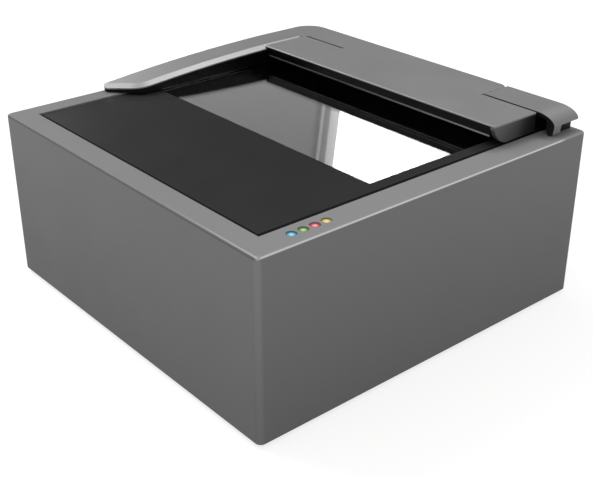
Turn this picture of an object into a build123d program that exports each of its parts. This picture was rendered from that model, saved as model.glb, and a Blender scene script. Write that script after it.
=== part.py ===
"""Full-page travel document scanner: a low square housing with a glass bed and a hinged L-shaped hood.

The origin is at the middle of the footprint, on the surface that the feet stand on.
+X runs to the user's right, +Y to the back, +Z up. Lengths are in millimetres.
"""

import math
import os

from build123d import *

os.makedirs("parts", exist_ok=True)

# Housing
housing_width = 160.0
housing_depth = 160.0
housing_height = 68.6
wall = 3.0
deck_thickness = 4.0
corner_radius = 2.4
edge_round = 0.9
foot_stand = 1.5

# Black cover plate and the glass in it
margin_left = 9.1
margin_right = 11.6
margin_front = 10.2
margin_back = 7.0
plate_thickness = 2.0
plate_recess = 0.5
plate_gap = 0.35
ledge_width = 1.4
window_from_left = 14.0
window_from_right = 18.5
window_from_front = 63.7
window_from_back = 9.4
glass_gap = 0.15
gasket_thickness = 0.5
gasket_outside = 0.5
gasket_inside = 1.2

# Status lights in the right-hand margin
light_count = 4
light_pitch = 4.8
light_from_front = 18.9
light_from_right = 6.4
light_diameter = 3.6
light_gap = 0.1
light_recess = 0.35
light_flange = 0.4
light_flange_thickness = 1.0
light_holder_width = 6.1
light_holder_height = 3.0
light_board_thickness = 1.2

# Hood: a grey cover over a black liner
hood_inset = 0.4
hood_height = 8.0
hood_lift = 0.4
hood_edge_round = 0.8
cover_wall = 1.6
arm_width = 15.6
arm_length = 118.6
arm_tip_height = 2.6
arm_mid_height = 6.4
arm_level_length = 31.6
nose_length = 12.5
nose_round = 10.0
nose_outer_round = 2.5
bevel_width = 2.8
bevel_drop = 1.1
bar_depth = 40.0
bar_overlap = 0.8
bar_edge_round = 0.4
bar_end_from_right = 12.0
cheek_wall = 2.0
cheek_foot = 9.2
cheek_belly = 2.1
cheek_belly_height = 3.0
cheek_heel = 1.6
slit_width = 1.0
slit_end_radius = 0.7
slit_from_hood_back = 15.2
groove_length = 25.0
groove_width = 1.1
groove_depth = 1.1
hood_corner_radius = 10.0
tongue_corner_radius = 3.0
fit_gap = 0.1
body_gap = 0.4

# Liner, document slot and soft parts of the hood
slot_clear = 3.75
fascia_thickness = 1.6
fascia_edge = 0.5
bead_radius = 0.45
bead_stand = 0.3
liner_wall = 1.5
pad_thickness = 0.9
pad_inset = 2.4
stop_from_hood_back = 9.4
cell_count = 4
cell_length = 18.0
cell_rib = 1.5
cell_side_wall = 1.5
rest_pad_first = 5.0
rest_pad_pitch = 8.5
rest_pad_length = 6.5
rest_pad_width = 6.0
rest_pad_thickness = 0.7
rest_pad_gap = 0.3

# Hinge at the back of the hood
hinge_radius = 3.6
pin_radius = 1.25
pin_fit = 0.02
pin_run = 0.06
pin_overrun = 11.0
boss_length = 6.0
pocket_count = 2
pocket_rib = 3.0
pocket_inset = 1.6
pocket_height = 5.6
ear_radius = 2.5
ear_width = 7.0
ear_from_left = 24.0
ear_pocket_height = 6.8
ear_flange_side = 5.1
ear_flange_height = 2.0
ear_flange_depth = 4.9
hinge_cover_length = 34.5
hinge_cover_from_right = 4.0
hinge_cover_wall = 1.5
hinge_cover_curve = 9.0
hinge_cover_beak = 4.0
hinge_leg_depth = 4.4
hinge_block_length = 31.7
hinge_block_depth = 7.5
hinge_block_height = 6.4
hinge_block_low_end = 4.6
hinge_block_screw_start = 14.0
hinge_block_screw_pitch = 8.0
ear_screw_side = 2.6
ear_screw_forward = 1.3
screw_radius = 1.25
screw_head_radius = 2.0
screw_head_height = 1.2
ear_screw_reach = 1.5
block_screw_reach = 4.5

# Base plate, feet and boards
base_recess = 0.6
base_thickness = 1.5
base_gap = 0.4
base_rib_width = 1.2
base_rib_height = 1.5
base_rib_side_gap = 20.0
front_rib_back = 7.0
rear_rib_forward = 14.0
vent_count = 7
vent_pitch = 12.0
vent_length = 30.0
vent_width = 2.4
foot_radius = 6.0
foot_inset = 18.0
foot_round = 0.6
post_radius = 4.5
post_bore_depth = 9.0
base_screw_reach = 7.0
board_screw_reach = 3.0
board_thickness = 1.6
standoff_radius = 2.5
standoff_height = 5.0
board_hole_inset = 4.0
main_board_side_gap = 9.0
main_board_depth = 57.0
main_board_from_front = 9.0
processor_size = 21.0
processor_share = 0.28
memory_width = 14.0
memory_depth = 10.0
memory_pitch = 16.0
memory_share = 0.485
controller_size = 12.0
controller_share = 0.68
controller_from_back = 16.5
chip_height = 1.4
chip_round = 0.6
capacitor_radius = 3.5
capacitor_height = 8.0
capacitor_pitch = 10.0
capacitor_from_front = 16.5
antenna_side_gap = 4.25
antenna_front_gap = 4.2
antenna_cut_width = 40.0
antenna_cut_depth = 24.0
antenna_corner = 3.0
antenna_board_thickness = 1.0
antenna_gap = 2.4
spacer_thickness = 1.8
spacer_width = 8.0
buzzer_radius = 6.0
buzzer_height = 6.0
buzzer_hole_radius = 1.0
buzzer_share = 0.87
buzzer_from_front = 18.5

# Optics
box_wall = 1.5
box_floor_height = 15.0
box_floor_width = 84.0
box_floor_depth = 56.0
box_post_radius = 3.5
box_post_inset = 4.0
camera_board_size = 34.0
camera_holder_size = 22.0
camera_holder_height = 5.8
lens_barrel_radius = 7.5
lens_gap = 0.5
lens_wall = 1.8
lens_top_above_floor = 6.0
ribbon_width = 16.0
ribbon_thickness = 0.3
ribbon_plug_depth = 4.0
ribbon_plug_height = 1.8
led_bar_width = 10.0
led_bar_length = 48.0
led_bar_thickness = 1.2
led_bar_from_middle = 33.0
led_count = 6
led_size = 3.0
led_height = 0.9
diffuser_height = 7.0
diffuser_wall = 1.0

# Rear connectors
panel_width = 60.0
panel_height = 22.0
panel_rise = 6.5
panel_thickness = 1.6
panel_recess = 0.4
panel_gap = 0.15
panel_step = 2.0
panel_side_step = 10.0
panel_corner = 1.0
panel_boss_radius = 3.4
panel_boss_depth = 4.0
panel_screw_reach = 3.0
panel_screw_head = 0.8
connector_board_width = 70.0
connector_board_depth = 15.4
usb_x = -10.0
usb_width = 12.0
usb_height = 10.8
usb_mouth_width = 8.5
usb_mouth_height = 7.8
power_x = 9.0
power_width = 9.0
power_height = 11.0
power_mouth_radius = 3.1
socket_depth = 16.0
socket_mouth_depth = 10.0
socket_gap = 0.2

# Places worked out from the sizes above
left = -housing_width / 2
right = housing_width / 2
front = -housing_depth / 2
back = housing_depth / 2
deck = foot_stand + housing_height
deck_under = deck - deck_thickness
base_under = foot_stand + base_recess
base_top = base_under + base_thickness
board_under = base_top + standoff_height
board_top = board_under + board_thickness
post_inset = wall + 0.9 * post_radius

plate_left = left + margin_left
plate_right = right - margin_right
plate_front = front + margin_front
plate_back = back - margin_back
plate_top = deck - plate_recess
plate_under = plate_top - plate_thickness
window_left = left + window_from_left
window_right = right - window_from_right
window_front = front + window_from_front
window_back = back - window_from_back
window_width = window_right - window_left
window_depth = window_back - window_front
window_x = (window_left + window_right) / 2
window_y = (window_front + window_back) / 2
gasket_under = plate_under - gasket_thickness
box_floor = foot_stand + box_floor_height
box_inside = box_floor + box_wall

hood_left = left + hood_inset
hood_back = back - hood_inset / 2
hood_top = deck + hood_height
hood_under = deck + hood_lift
arm_right = hood_left + arm_width
arm_tip = hood_back - arm_length
arm_level = hood_back - arm_level_length
bar_front = hood_back - bar_depth
bar_right = right - bar_end_from_right
bar_back = hood_back - slit_from_hood_back - slit_width
cheek_inside = bar_right - cheek_wall
stop_front = hood_back - stop_from_hood_back
liner_back = stop_front + liner_wall
ceiling = hood_top - cover_wall
liner_drop = cover_wall + fit_gap
liner_top = hood_top - liner_drop
liner_under = liner_top - liner_wall
cell_left = hood_left + liner_drop + cell_side_wall
cell_right = arm_right - cell_side_wall
cell_x = (cell_left + cell_right) / 2
cell_front = stop_front - cell_rib - cell_count * (cell_length + cell_rib) + cell_rib

hinge_y = hood_back - hinge_radius
hinge_z = hood_under + hinge_radius
cover_right = right - hinge_cover_from_right
cover_left = cover_right - hinge_cover_length
cover_front = bar_back + slit_width
tongue_right = cover_left - body_gap
ear_left = left + ear_from_left
ear_right = ear_left + ear_width
ear_pocket_left = ear_left - ear_flange_side - body_gap
ear_pocket_right = ear_right + ear_flange_side + body_gap
block_left = cover_left + body_gap + fit_gap
block_right = block_left + hinge_block_length
block_back = hood_back - hinge_cover_wall - 2 * fit_gap
block_front = block_back - hinge_block_depth


def block(x, y, z, mode=Mode.ADD):
    """Add or cut a rectangular block between low and high ends on each axis."""
    with BuildSketch(Plane.XY.offset(z[0])) as outline:
        with Locations(((x[0] + x[1]) / 2, (y[0] + y[1]) / 2)):
            Rectangle(x[1] - x[0], y[1] - y[0])
    extrude(outline.sketch, amount=z[1] - z[0], mode=mode)


def upright(spots, radius, z, mode=Mode.ADD):
    """Add or cut vertical cylinders at the given (x, y) spots."""
    with BuildSketch(Plane.XY.offset(z[0])) as outline:
        with Locations(*spots):
            Circle(radius)
    extrude(outline.sketch, amount=z[1] - z[0], mode=mode)


def along_x(y, z, radius, x, mode=Mode.ADD):
    """Add or cut a cylinder that lies along X."""
    with BuildSketch(Plane.YZ.offset(x[0])) as outline:
        with Locations((y, z)):
            Circle(radius)
    extrude(outline.sketch, amount=x[1] - x[0], mode=mode)


def along_y(spots, radius, y, mode=Mode.ADD):
    """Add or cut cylinders that lie along Y at the given (x, z) spots."""
    with BuildSketch(Plane.XZ.offset(-y[1])) as outline:
        with Locations(*spots):
            Circle(radius)
    extrude(outline.sketch, amount=y[1] - y[0], mode=mode)


def screws(spots, head_z, tip_z):
    """Add screws on vertical axes, with the head's far face at head_z and the tip at tip_z."""
    up = 1 if tip_z > head_z else -1
    neck = head_z + up * screw_head_height
    upright(spots, screw_head_radius, (min(head_z, neck), max(head_z, neck)))
    upright(spots, screw_radius, (min(neck, tip_z), max(neck, tip_z)))


def corners(width, depth, inset, x=0.0, y=0.0):
    """Four spots inset from the corners of a rectangle centred on (x, y)."""
    across = width / 2 - inset
    along = depth / 2 - inset
    return [
        (x - across, y - along),
        (x + across, y - along),
        (x - across, y + along),
        (x + across, y + along),
    ]


def arm_plan(side_inset):
    """Plan outline of the arm with its slanting nose, the outer side moved in by side_inset."""
    corner_y = arm_tip + nose_length
    with BuildSketch(Plane.XY.offset(hood_under)) as plan:
        with BuildLine():
            Polyline(
                (hood_left + side_inset, arm_tip + nose_length * side_inset / arm_width),
                (arm_right, corner_y),
                (arm_right, hood_back),
                (hood_left + side_inset, hood_back),
                close=True,
            )
        make_face()
        fillet(plan.vertices().sort_by_distance((arm_right, corner_y))[0], nose_round)
        if side_inset == 0:
            fillet(plan.vertices().sort_by_distance((hood_left, hood_back))[0], hood_corner_radius)
    return plan.sketch


def nose_waste():
    """What is cut away to round the outer corner of the nose, tangent to the side and the nose."""
    reach = nose_outer_round / math.tan(math.atan2(arm_width, nose_length) / 2)
    along = reach / math.hypot(arm_width, nose_length)
    on_side = (hood_left, arm_tip + reach)
    on_nose = (hood_left + along * arm_width, arm_tip + along * nose_length)
    with BuildSketch(Plane.XY.offset(hood_under - 1)) as waste:
        with BuildLine():
            TangentArc(on_side, on_nose, tangent=(0, -1))
            Polyline(
                on_nose,
                (on_nose[0], arm_tip - 2),
                (hood_left - 2, arm_tip - 2),
                (hood_left - 2, on_side[1]),
                on_side,
            )
        make_face()
    return waste.sketch


def under_top_line(x, drop, y):
    """Side outline of all that lies under the arm's rising top line, the line lowered by drop."""
    tip_z = deck + arm_tip_height - drop
    mid_z = deck + arm_mid_height - drop
    low = deck - hood_height
    with BuildSketch(Plane.YZ.offset(x)) as side:
        with BuildLine():
            Line((arm_tip - 3, tip_z), (arm_tip, tip_z))
            ThreePointArc(
                (arm_tip, tip_z), ((arm_tip + arm_level) / 2, mid_z), (arm_level, hood_top - drop)
            )
            Polyline(
                (arm_level, hood_top - drop),
                (hood_back + 1, hood_top - drop),
                (hood_back + 1, low),
                (arm_tip - 3, low),
                (arm_tip - 3, tip_z),
            )
        make_face()
        with Locations(((y[0] + y[1]) / 2, deck)):
            Rectangle(y[1] - y[0], 4 * hood_height, mode=Mode.INTERSECT)
    return side.sketch


# Housing shell
light_x = right - light_from_right
light_spots = [
    (light_x, front + light_from_front + count * light_pitch) for count in range(light_count)
]
post_spots = corners(housing_width, housing_depth, post_inset)
panel_low = foot_stand + panel_rise
panel_high = panel_low + panel_height
panel_middle = (panel_low + panel_high) / 2
panel_back = back - panel_recess
panel_front = panel_back - panel_thickness
panel_screw_x = panel_width / 2 - panel_side_step / 2
panel_spots = [(-panel_screw_x, panel_middle), (panel_screw_x, panel_middle)]
ear_screw_y = hinge_y - ear_screw_forward
ear_screw_spots = [
    (ear_left - ear_screw_side, ear_screw_y),
    (ear_right + ear_screw_side, ear_screw_y),
]
block_screw_y = (block_front + block_back) / 2
block_screw_x = block_left + hinge_block_screw_start
block_screw_spots = [
    (block_screw_x, block_screw_y),
    (block_screw_x + hinge_block_screw_pitch, block_screw_y),
]

with BuildPart() as housing_shell:
    with BuildSketch(Plane.XY.offset(foot_stand)):
        RectangleRounded(housing_width, housing_depth, corner_radius)
    extrude(amount=housing_height)
    fillet(faces().sort_by(Axis.Z)[-1].edges(), edge_round)
    fillet(faces().sort_by(Axis.Z)[0].edges(), edge_round / 2)
    # Hollow, corner posts and bosses behind the connector panel
    with BuildSketch(Plane.XY.offset(foot_stand)):
        RectangleRounded(housing_width - 2 * wall, housing_depth - 2 * wall, corner_radius / 2)
    extrude(amount=housing_height - deck_thickness, mode=Mode.SUBTRACT)
    upright(post_spots, post_radius, (base_top, deck_under))
    post_bore = (base_top - 1, base_top + post_bore_depth)
    upright(post_spots, screw_radius + pin_fit, post_bore, Mode.SUBTRACT)
    along_y(panel_spots, panel_boss_radius, (back - wall - panel_boss_depth, back - wall))
    # Rebate for the cover plate, and the opening inside its ledge
    block(
        (plate_left - plate_gap, plate_right + plate_gap),
        (plate_front - plate_gap, plate_back + plate_gap),
        (plate_under, deck + 1),
        Mode.SUBTRACT,
    )
    block(
        (plate_left + ledge_width, plate_right - ledge_width),
        (plate_front + ledge_width, plate_back - ledge_width),
        (deck_under - 1, deck),
        Mode.SUBTRACT,
    )
    # Status light holes and hinge screw holes in the deck
    upright(light_spots, light_diameter / 2 + light_gap, (deck_under - 1, deck + 1), Mode.SUBTRACT)
    hinge_holes = ear_screw_spots + block_screw_spots
    upright(hinge_holes, screw_radius + fit_gap, (deck_under - 1, deck + 1), Mode.SUBTRACT)
    # Rebate and opening for the rear connector panel
    with BuildSketch(Plane.XZ.offset(-back)) as rebate:
        with Locations((0, panel_middle)):
            RectangleRounded(panel_width, panel_height, panel_corner)
    extrude(rebate.sketch, amount=panel_recess + panel_thickness, mode=Mode.SUBTRACT)
    block(
        (-panel_width / 2 + panel_side_step, panel_width / 2 - panel_side_step),
        (back - wall - 1, back),
        (panel_low + panel_step, panel_high - panel_step),
        Mode.SUBTRACT,
    )
    panel_bore = (back - wall - panel_screw_reach - body_gap, back)
    along_y(panel_spots, screw_radius + pin_fit, panel_bore, Mode.SUBTRACT)

housing_shell.part.label = "housing_shell"
export_step(housing_shell.part, "parts/housing_shell.step")

# Base plate with ribs and vent slots
box_post_spots = corners(box_floor_width, box_floor_depth, box_post_inset, window_x, window_y)
base_screw_spots = post_spots + box_post_spots
main_board_front = front + main_board_from_front
main_board_y = main_board_front + main_board_depth / 2
base_rib_side = housing_width / 2 - wall - base_rib_side_gap

with BuildPart() as base_plate:
    with BuildSketch(Plane.XY.offset(base_under)):
        RectangleRounded(
            housing_width - 2 * (wall + base_gap),
            housing_depth - 2 * (wall + base_gap),
            corner_radius / 2,
        )
    extrude(amount=base_thickness)
    for rib_y in (window_front + front_rib_back, window_back - rear_rib_forward):
        block(
            (-base_rib_side, base_rib_side),
            (rib_y, rib_y + base_rib_width),
            (base_top, base_top + base_rib_height),
        )
    with BuildSketch(Plane.XY.offset(base_under)):
        with Locations((0, main_board_y)):
            with GridLocations(vent_pitch, 1, vent_count, 1):
                SlotOverall(vent_length, vent_width, rotation=90)
    extrude(amount=base_thickness, mode=Mode.SUBTRACT)
    upright(base_screw_spots, screw_radius + fit_gap, (base_under, base_top), Mode.SUBTRACT)
    upright(
        base_screw_spots,
        screw_head_radius + fit_gap,
        (base_under, base_under + base_thickness / 2),
        Mode.SUBTRACT,
    )

base_plate.part.label = "base_plate"
export_step(base_plate.part, "parts/base_plate.step")

# Rubber feet
with BuildPart() as rubber_feet:
    upright(corners(housing_width, housing_depth, foot_inset), foot_radius, (0, base_under))
    fillet(edges().group_by(Axis.Z)[0], foot_round)

rubber_feet.part.label = "rubber_feet"
export_step(rubber_feet.part, "parts/rubber_feet.step")

# Screws that hold the base plate to the shell and the light box
with BuildPart() as base_screws:
    neck_z = base_under + base_thickness / 2
    screws(base_screw_spots, neck_z - screw_head_height, neck_z + base_screw_reach)

base_screws.part.label = "base_screws"
export_step(base_screws.part, "parts/base_screws.step")

# Cover plate with the window opening
with BuildPart() as cover_plate:
    block((plate_left, plate_right), (plate_front, plate_back), (plate_under, plate_top))
    block(
        (window_left, window_right),
        (window_front, window_back),
        (plate_under - 1, plate_top + 1),
        Mode.SUBTRACT,
    )

cover_plate.part.label = "cover_plate"
export_step(cover_plate.part, "parts/cover_plate.step")

# Window glass
with BuildPart() as window_glass:
    block(
        (window_left + glass_gap, window_right - glass_gap),
        (window_front + glass_gap, window_back - glass_gap),
        (plate_under, plate_top),
    )

window_glass.part.label = "window_glass"
export_step(window_glass.part, "parts/window_glass.step")

# Gasket ring under the glass
with BuildPart() as glass_gasket:
    block(
        (window_left - gasket_outside, window_right + gasket_outside),
        (window_front - gasket_outside, window_back + gasket_outside),
        (gasket_under, plate_under),
    )
    block(
        (window_left + gasket_inside, window_right - gasket_inside),
        (window_front + gasket_inside, window_back - gasket_inside),
        (gasket_under - 1, plate_under + 1),
        Mode.SUBTRACT,
    )

glass_gasket.part.label = "glass_gasket"
export_step(glass_gasket.part, "parts/glass_gasket.step")

# Light box between the gasket and the base plate
with BuildPart() as light_box:
    with BuildSketch(Plane.XY.offset(box_floor)) as outer_low:
        with Locations((window_x, window_y)):
            Rectangle(box_floor_width, box_floor_depth)
    with BuildSketch(Plane.XY.offset(gasket_under)) as outer_high:
        with Locations((window_x, window_y)):
            Rectangle(window_width + 2 * gasket_outside, window_depth + 2 * gasket_outside)
    loft([outer_low.sketch, outer_high.sketch])
    with BuildSketch(Plane.XY.offset(box_inside)) as inner_low:
        with Locations((window_x, window_y)):
            Rectangle(box_floor_width - 2 * box_wall, box_floor_depth - 2 * box_wall)
    with BuildSketch(Plane.XY.offset(gasket_under)) as inner_high:
        with Locations((window_x, window_y)):
            Rectangle(window_width - 2 * gasket_inside, window_depth - 2 * gasket_inside)
    loft([inner_low.sketch, inner_high.sketch], mode=Mode.SUBTRACT)
    upright(box_post_spots, box_post_radius, (base_top, box_floor + box_wall / 2))
    upright(box_post_spots, screw_radius + pin_fit, post_bore, Mode.SUBTRACT)
    upright(
        [(window_x, window_y)],
        lens_barrel_radius + lens_gap,
        (box_floor - 1, box_inside + 1),
        Mode.SUBTRACT,
    )

light_box.part.label = "light_box"
export_step(light_box.part, "parts/light_box.step")

# Camera board, lens holder and lens
camera_spots = corners(camera_board_size, camera_board_size, board_hole_inset, window_x, window_y)
holder_top = board_top + camera_holder_height
barrel_top = box_inside + lens_top_above_floor

with BuildPart() as camera_board:
    with BuildSketch(Plane.XY.offset(board_under)):
        with Locations((window_x, window_y)):
            Rectangle(camera_board_size, camera_board_size)
    extrude(amount=board_thickness)
    fillet(edges().filter_by(Axis.Z), 1.5)
    upright(camera_spots, screw_radius + fit_gap, (board_under - 1, board_top + 1), Mode.SUBTRACT)

camera_board.part.label = "camera_board"
export_step(camera_board.part, "parts/camera_board.step")

with BuildPart() as camera_holder:
    with BuildSketch(Plane.XY.offset(board_top)):
        with Locations((window_x, window_y)):
            RectangleRounded(camera_holder_size, camera_holder_size, 2)
    extrude(amount=camera_holder_height)
    fillet(faces().sort_by(Axis.Z)[-1].edges(), 0.8)
    upright([(window_x, window_y)], lens_barrel_radius, (holder_top - 1, barrel_top))
    upright(
        [(window_x, window_y)],
        lens_barrel_radius - lens_wall,
        (board_top + 2, barrel_top + 1),
        Mode.SUBTRACT,
    )

camera_holder.part.label = "camera_holder"
export_step(camera_holder.part, "parts/camera_holder.step")

with BuildPart() as camera_lens:
    lens_radius = lens_barrel_radius - lens_wall - pin_fit
    upright([(window_x, window_y)], lens_radius, (holder_top, barrel_top + 1))
    fillet(edges().group_by(Axis.Z)[-1], 2.0)

camera_lens.part.label = "camera_lens"
export_step(camera_lens.part, "parts/camera_lens.step")

# Light bars on the floor of the light box and their diffusers
bar_x = {"left": window_x - led_bar_from_middle, "right": window_x + led_bar_from_middle}


def led_bar(x):
    """A narrow board with a row of light chips."""
    with BuildPart() as bar:
        block(
            (x - led_bar_width / 2, x + led_bar_width / 2),
            (window_y - led_bar_length / 2, window_y + led_bar_length / 2),
            (box_inside, box_inside + led_bar_thickness),
        )
        chip_z = box_inside + led_bar_thickness
        with BuildSketch(Plane.XY.offset(chip_z)):
            with Locations((x, window_y)):
                with GridLocations(1, led_bar_length / led_count, 1, led_count):
                    Rectangle(led_size, led_size)
        extrude(amount=led_height)
    return bar.part


def diffuser(x):
    """A channel, open below, that stands over a light bar."""
    outer_x = led_bar_width / 2 + diffuser_wall + fit_gap
    outer_y = led_bar_length / 2 + diffuser_wall + fit_gap
    top = box_inside + diffuser_height
    with BuildPart() as channel:
        block((x - outer_x, x + outer_x), (window_y - outer_y, window_y + outer_y), (box_inside, top))
        fillet(faces().sort_by(Axis.Z)[-1].edges(), 1.5)
        block(
            (x - outer_x + diffuser_wall, x + outer_x - diffuser_wall),
            (window_y - outer_y + diffuser_wall, window_y + outer_y - diffuser_wall),
            (box_inside, top - diffuser_wall),
            Mode.SUBTRACT,
        )
    return channel.part


led_bar_left = led_bar(bar_x["left"])
led_bar_left.label = "led_bar_left"
export_step(led_bar_left, "parts/led_bar_left.step")

led_bar_right = led_bar(bar_x["right"])
led_bar_right.label = "led_bar_right"
export_step(led_bar_right, "parts/led_bar_right.step")

diffuser_left = diffuser(bar_x["left"])
diffuser_left.label = "diffuser_left"
export_step(diffuser_left, "parts/diffuser_left.step")

diffuser_right = diffuser(bar_x["right"])
diffuser_right.label = "diffuser_right"
export_step(diffuser_right, "parts/diffuser_right.step")

# Main board, its chips and the buzzer
main_board_left = left + wall + main_board_side_gap
main_board_right = right - wall - main_board_side_gap
main_board_width = main_board_right - main_board_left
main_spots = corners(main_board_width, main_board_depth, board_hole_inset, 0, main_board_y)

with BuildPart() as main_board:
    with BuildSketch(Plane.XY.offset(board_under)):
        with Locations((0, main_board_y)):
            Rectangle(main_board_width, main_board_depth)
    extrude(amount=board_thickness)
    fillet(edges().filter_by(Axis.Z), 2.0)
    upright(main_spots, screw_radius + fit_gap, (board_under - 1, board_top + 1), Mode.SUBTRACT)

main_board.part.label = "main_board"
export_step(main_board.part, "parts/main_board.step")

controller_x = main_board_left + controller_share * main_board_width
controller_y = main_board_front + main_board_depth - controller_from_back
capacitor_y = main_board_front + capacitor_from_front
capacitor_spots = [
    (controller_x - capacitor_pitch / 2, capacitor_y),
    (controller_x + capacitor_pitch / 2, capacitor_y),
]

with BuildPart() as main_board_chips:
    with BuildSketch(Plane.XY.offset(board_top)):
        with Locations((main_board_left + processor_share * main_board_width, main_board_y)):
            Rectangle(processor_size, processor_size)
        with Locations((main_board_left + memory_share * main_board_width, main_board_y)):
            with GridLocations(1, memory_pitch, 1, 2):
                Rectangle(memory_width, memory_depth)
        with Locations((controller_x, controller_y)):
            Rectangle(controller_size, controller_size)
    extrude(amount=chip_height)
    fillet(edges().filter_by(Axis.Z), chip_round)
    upright(capacitor_spots, capacitor_radius, (board_top, board_top + capacitor_height))

main_board_chips.part.label = "main_board_chips"
export_step(main_board_chips.part, "parts/main_board_chips.step")

buzzer_x = main_board_left + buzzer_share * main_board_width
buzzer_spot = [(buzzer_x, main_board_front + buzzer_from_front)]
buzzer_top = board_top + buzzer_height
with BuildPart() as buzzer:
    upright(buzzer_spot, buzzer_radius, (board_top, buzzer_top))
    fillet(edges().group_by(Axis.Z)[-1], chip_round)
    upright(buzzer_spot, buzzer_hole_radius, (buzzer_top - 2, buzzer_top + 1), Mode.SUBTRACT)

buzzer.part.label = "buzzer"
export_step(buzzer.part, "parts/buzzer.step")

# Connector board behind the rear panel
connector_board_back = back - wall - 0.6
connector_board_y = connector_board_back - connector_board_depth / 2
connector_spots = [
    (-connector_board_width / 2 + board_hole_inset, connector_board_y),
    (connector_board_width / 2 - board_hole_inset, connector_board_y),
]
with BuildPart() as connector_board:
    with BuildSketch(Plane.XY.offset(board_under)):
        with Locations((0, connector_board_y)):
            Rectangle(connector_board_width, connector_board_depth)
    extrude(amount=board_thickness)
    fillet(edges().filter_by(Axis.Z), 1.5)
    upright(connector_spots, screw_radius + fit_gap, (board_under - 1, board_top + 1), Mode.SUBTRACT)

connector_board.part.label = "connector_board"
export_step(connector_board.part, "parts/connector_board.step")

# Standoffs and screws of all three boards
all_board_spots = main_spots + camera_spots + connector_spots
with BuildPart() as board_standoffs:
    with BuildSketch(Plane.XY.offset(base_top)):
        with Locations(*all_board_spots):
            RegularPolygon(standoff_radius, 6)
    extrude(amount=standoff_height)
    upright(all_board_spots, screw_radius + pin_fit, (base_top + 0.8, board_under + 1), Mode.SUBTRACT)

board_standoffs.part.label = "board_standoffs"
export_step(board_standoffs.part, "parts/board_standoffs.step")

with BuildPart() as board_screws:
    screws(all_board_spots, board_top + screw_head_height, board_under - board_screw_reach)

board_screws.part.label = "board_screws"
export_step(board_screws.part, "parts/board_screws.step")

# Flat cable from the camera board to the main board
plug_high = board_top + ribbon_plug_height
ribbon_front = main_board_y + main_board_depth / 2 - 6
ribbon_back = window_y - camera_holder_size / 2 - 0.6
with BuildPart() as camera_ribbon:
    ribbon_x = (window_x - ribbon_width / 2, window_x + ribbon_width / 2)
    plug_x = (ribbon_x[0] - 1, ribbon_x[1] + 1)
    block(plug_x, (ribbon_front, ribbon_front + ribbon_plug_depth), (board_top, plug_high))
    block(plug_x, (ribbon_back - ribbon_plug_depth, ribbon_back), (board_top, plug_high))
    ribbon_z = board_top + ribbon_plug_height / 2
    block(ribbon_x, (ribbon_front + 1, ribbon_back - 1), (ribbon_z, ribbon_z + ribbon_thickness))

camera_ribbon.part.label = "camera_ribbon"
export_step(camera_ribbon.part, "parts/camera_ribbon.step")

# Antenna board hung under the cover plate on a foam frame
antenna_top = plate_under - spacer_thickness
antenna_left = plate_left + ledge_width + antenna_side_gap
antenna_right = plate_right - ledge_width - antenna_side_gap
antenna_front = plate_front + ledge_width + antenna_front_gap
antenna_back = window_front - gasket_outside - antenna_gap
antenna_board_width = antenna_right - antenna_left
antenna_board_depth = antenna_back - antenna_front
antenna_x = (antenna_left + antenna_right) / 2
antenna_y = (antenna_front + antenna_back) / 2
with BuildPart() as antenna_spacer:
    with BuildSketch(Plane.XY.offset(antenna_top)):
        with Locations((antenna_x, antenna_y)):
            Rectangle(antenna_board_width, antenna_board_depth)
            Rectangle(
                antenna_board_width - 2 * spacer_width,
                antenna_board_depth - 2 * spacer_width,
                mode=Mode.SUBTRACT,
            )
    extrude(amount=spacer_thickness)

antenna_spacer.part.label = "antenna_spacer"
export_step(antenna_spacer.part, "parts/antenna_spacer.step")

with BuildPart() as antenna_board:
    with BuildSketch(Plane.XY.offset(antenna_top - antenna_board_thickness)):
        with Locations((antenna_x, antenna_y)):
            RectangleRounded(antenna_board_width, antenna_board_depth, antenna_corner)
            Rectangle(antenna_cut_width, antenna_cut_depth, mode=Mode.SUBTRACT)
    extrude(amount=antenna_board_thickness)

antenna_board.part.label = "antenna_board"
export_step(antenna_board.part, "parts/antenna_board.step")

# Status light lenses, one node for each colour
flange_z = (deck_under - light_flange_thickness, deck_under)


def status_lens(spot):
    """A round lens with a flange under the deck."""
    with BuildPart() as lens:
        upright([spot], light_diameter / 2, (flange_z[0], deck - light_recess))
        fillet(edges().group_by(Axis.Z)[-1], 0.3)
        upright([spot], light_diameter / 2 + light_flange, flange_z)
    return lens.part


for colour, spot in zip(("blue", "green", "red", "yellow"), light_spots):
    lens_part = status_lens(spot)
    lens_part.label = "status_lens_" + colour
    export_step(lens_part, "parts/status_lens_" + colour + ".step")

# Holder and board of the status lights
holder_front = light_spots[0][1] - light_pitch
holder_back = light_spots[-1][1] + light_pitch
holder_x = (light_x - light_holder_width / 2, light_x + light_holder_width / 2)
light_holder_under = deck_under - light_holder_height
with BuildPart() as status_lens_holder:
    block(holder_x, (holder_front, holder_back), (light_holder_under, deck_under))
    pocket_radius = light_diameter / 2 + light_flange + pin_run
    upright(light_spots, pocket_radius, (flange_z[0], deck_under + 1), Mode.SUBTRACT)
    upright(light_spots, 1.3, (light_holder_under - 1, deck_under), Mode.SUBTRACT)

status_lens_holder.part.label = "status_lens_holder"
export_step(status_lens_holder.part, "parts/status_lens_holder.step")

with BuildPart() as status_board:
    status_top = light_holder_under
    block(holder_x, (holder_front, holder_back), (status_top - light_board_thickness, status_top))
    with BuildSketch(Plane.XY.offset(status_top)):
        with Locations(*light_spots):
            Rectangle(1.6, 1.2)
    extrude(amount=0.8)

status_board.part.label = "status_board"
export_step(status_board.part, "parts/status_board.step")

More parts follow.
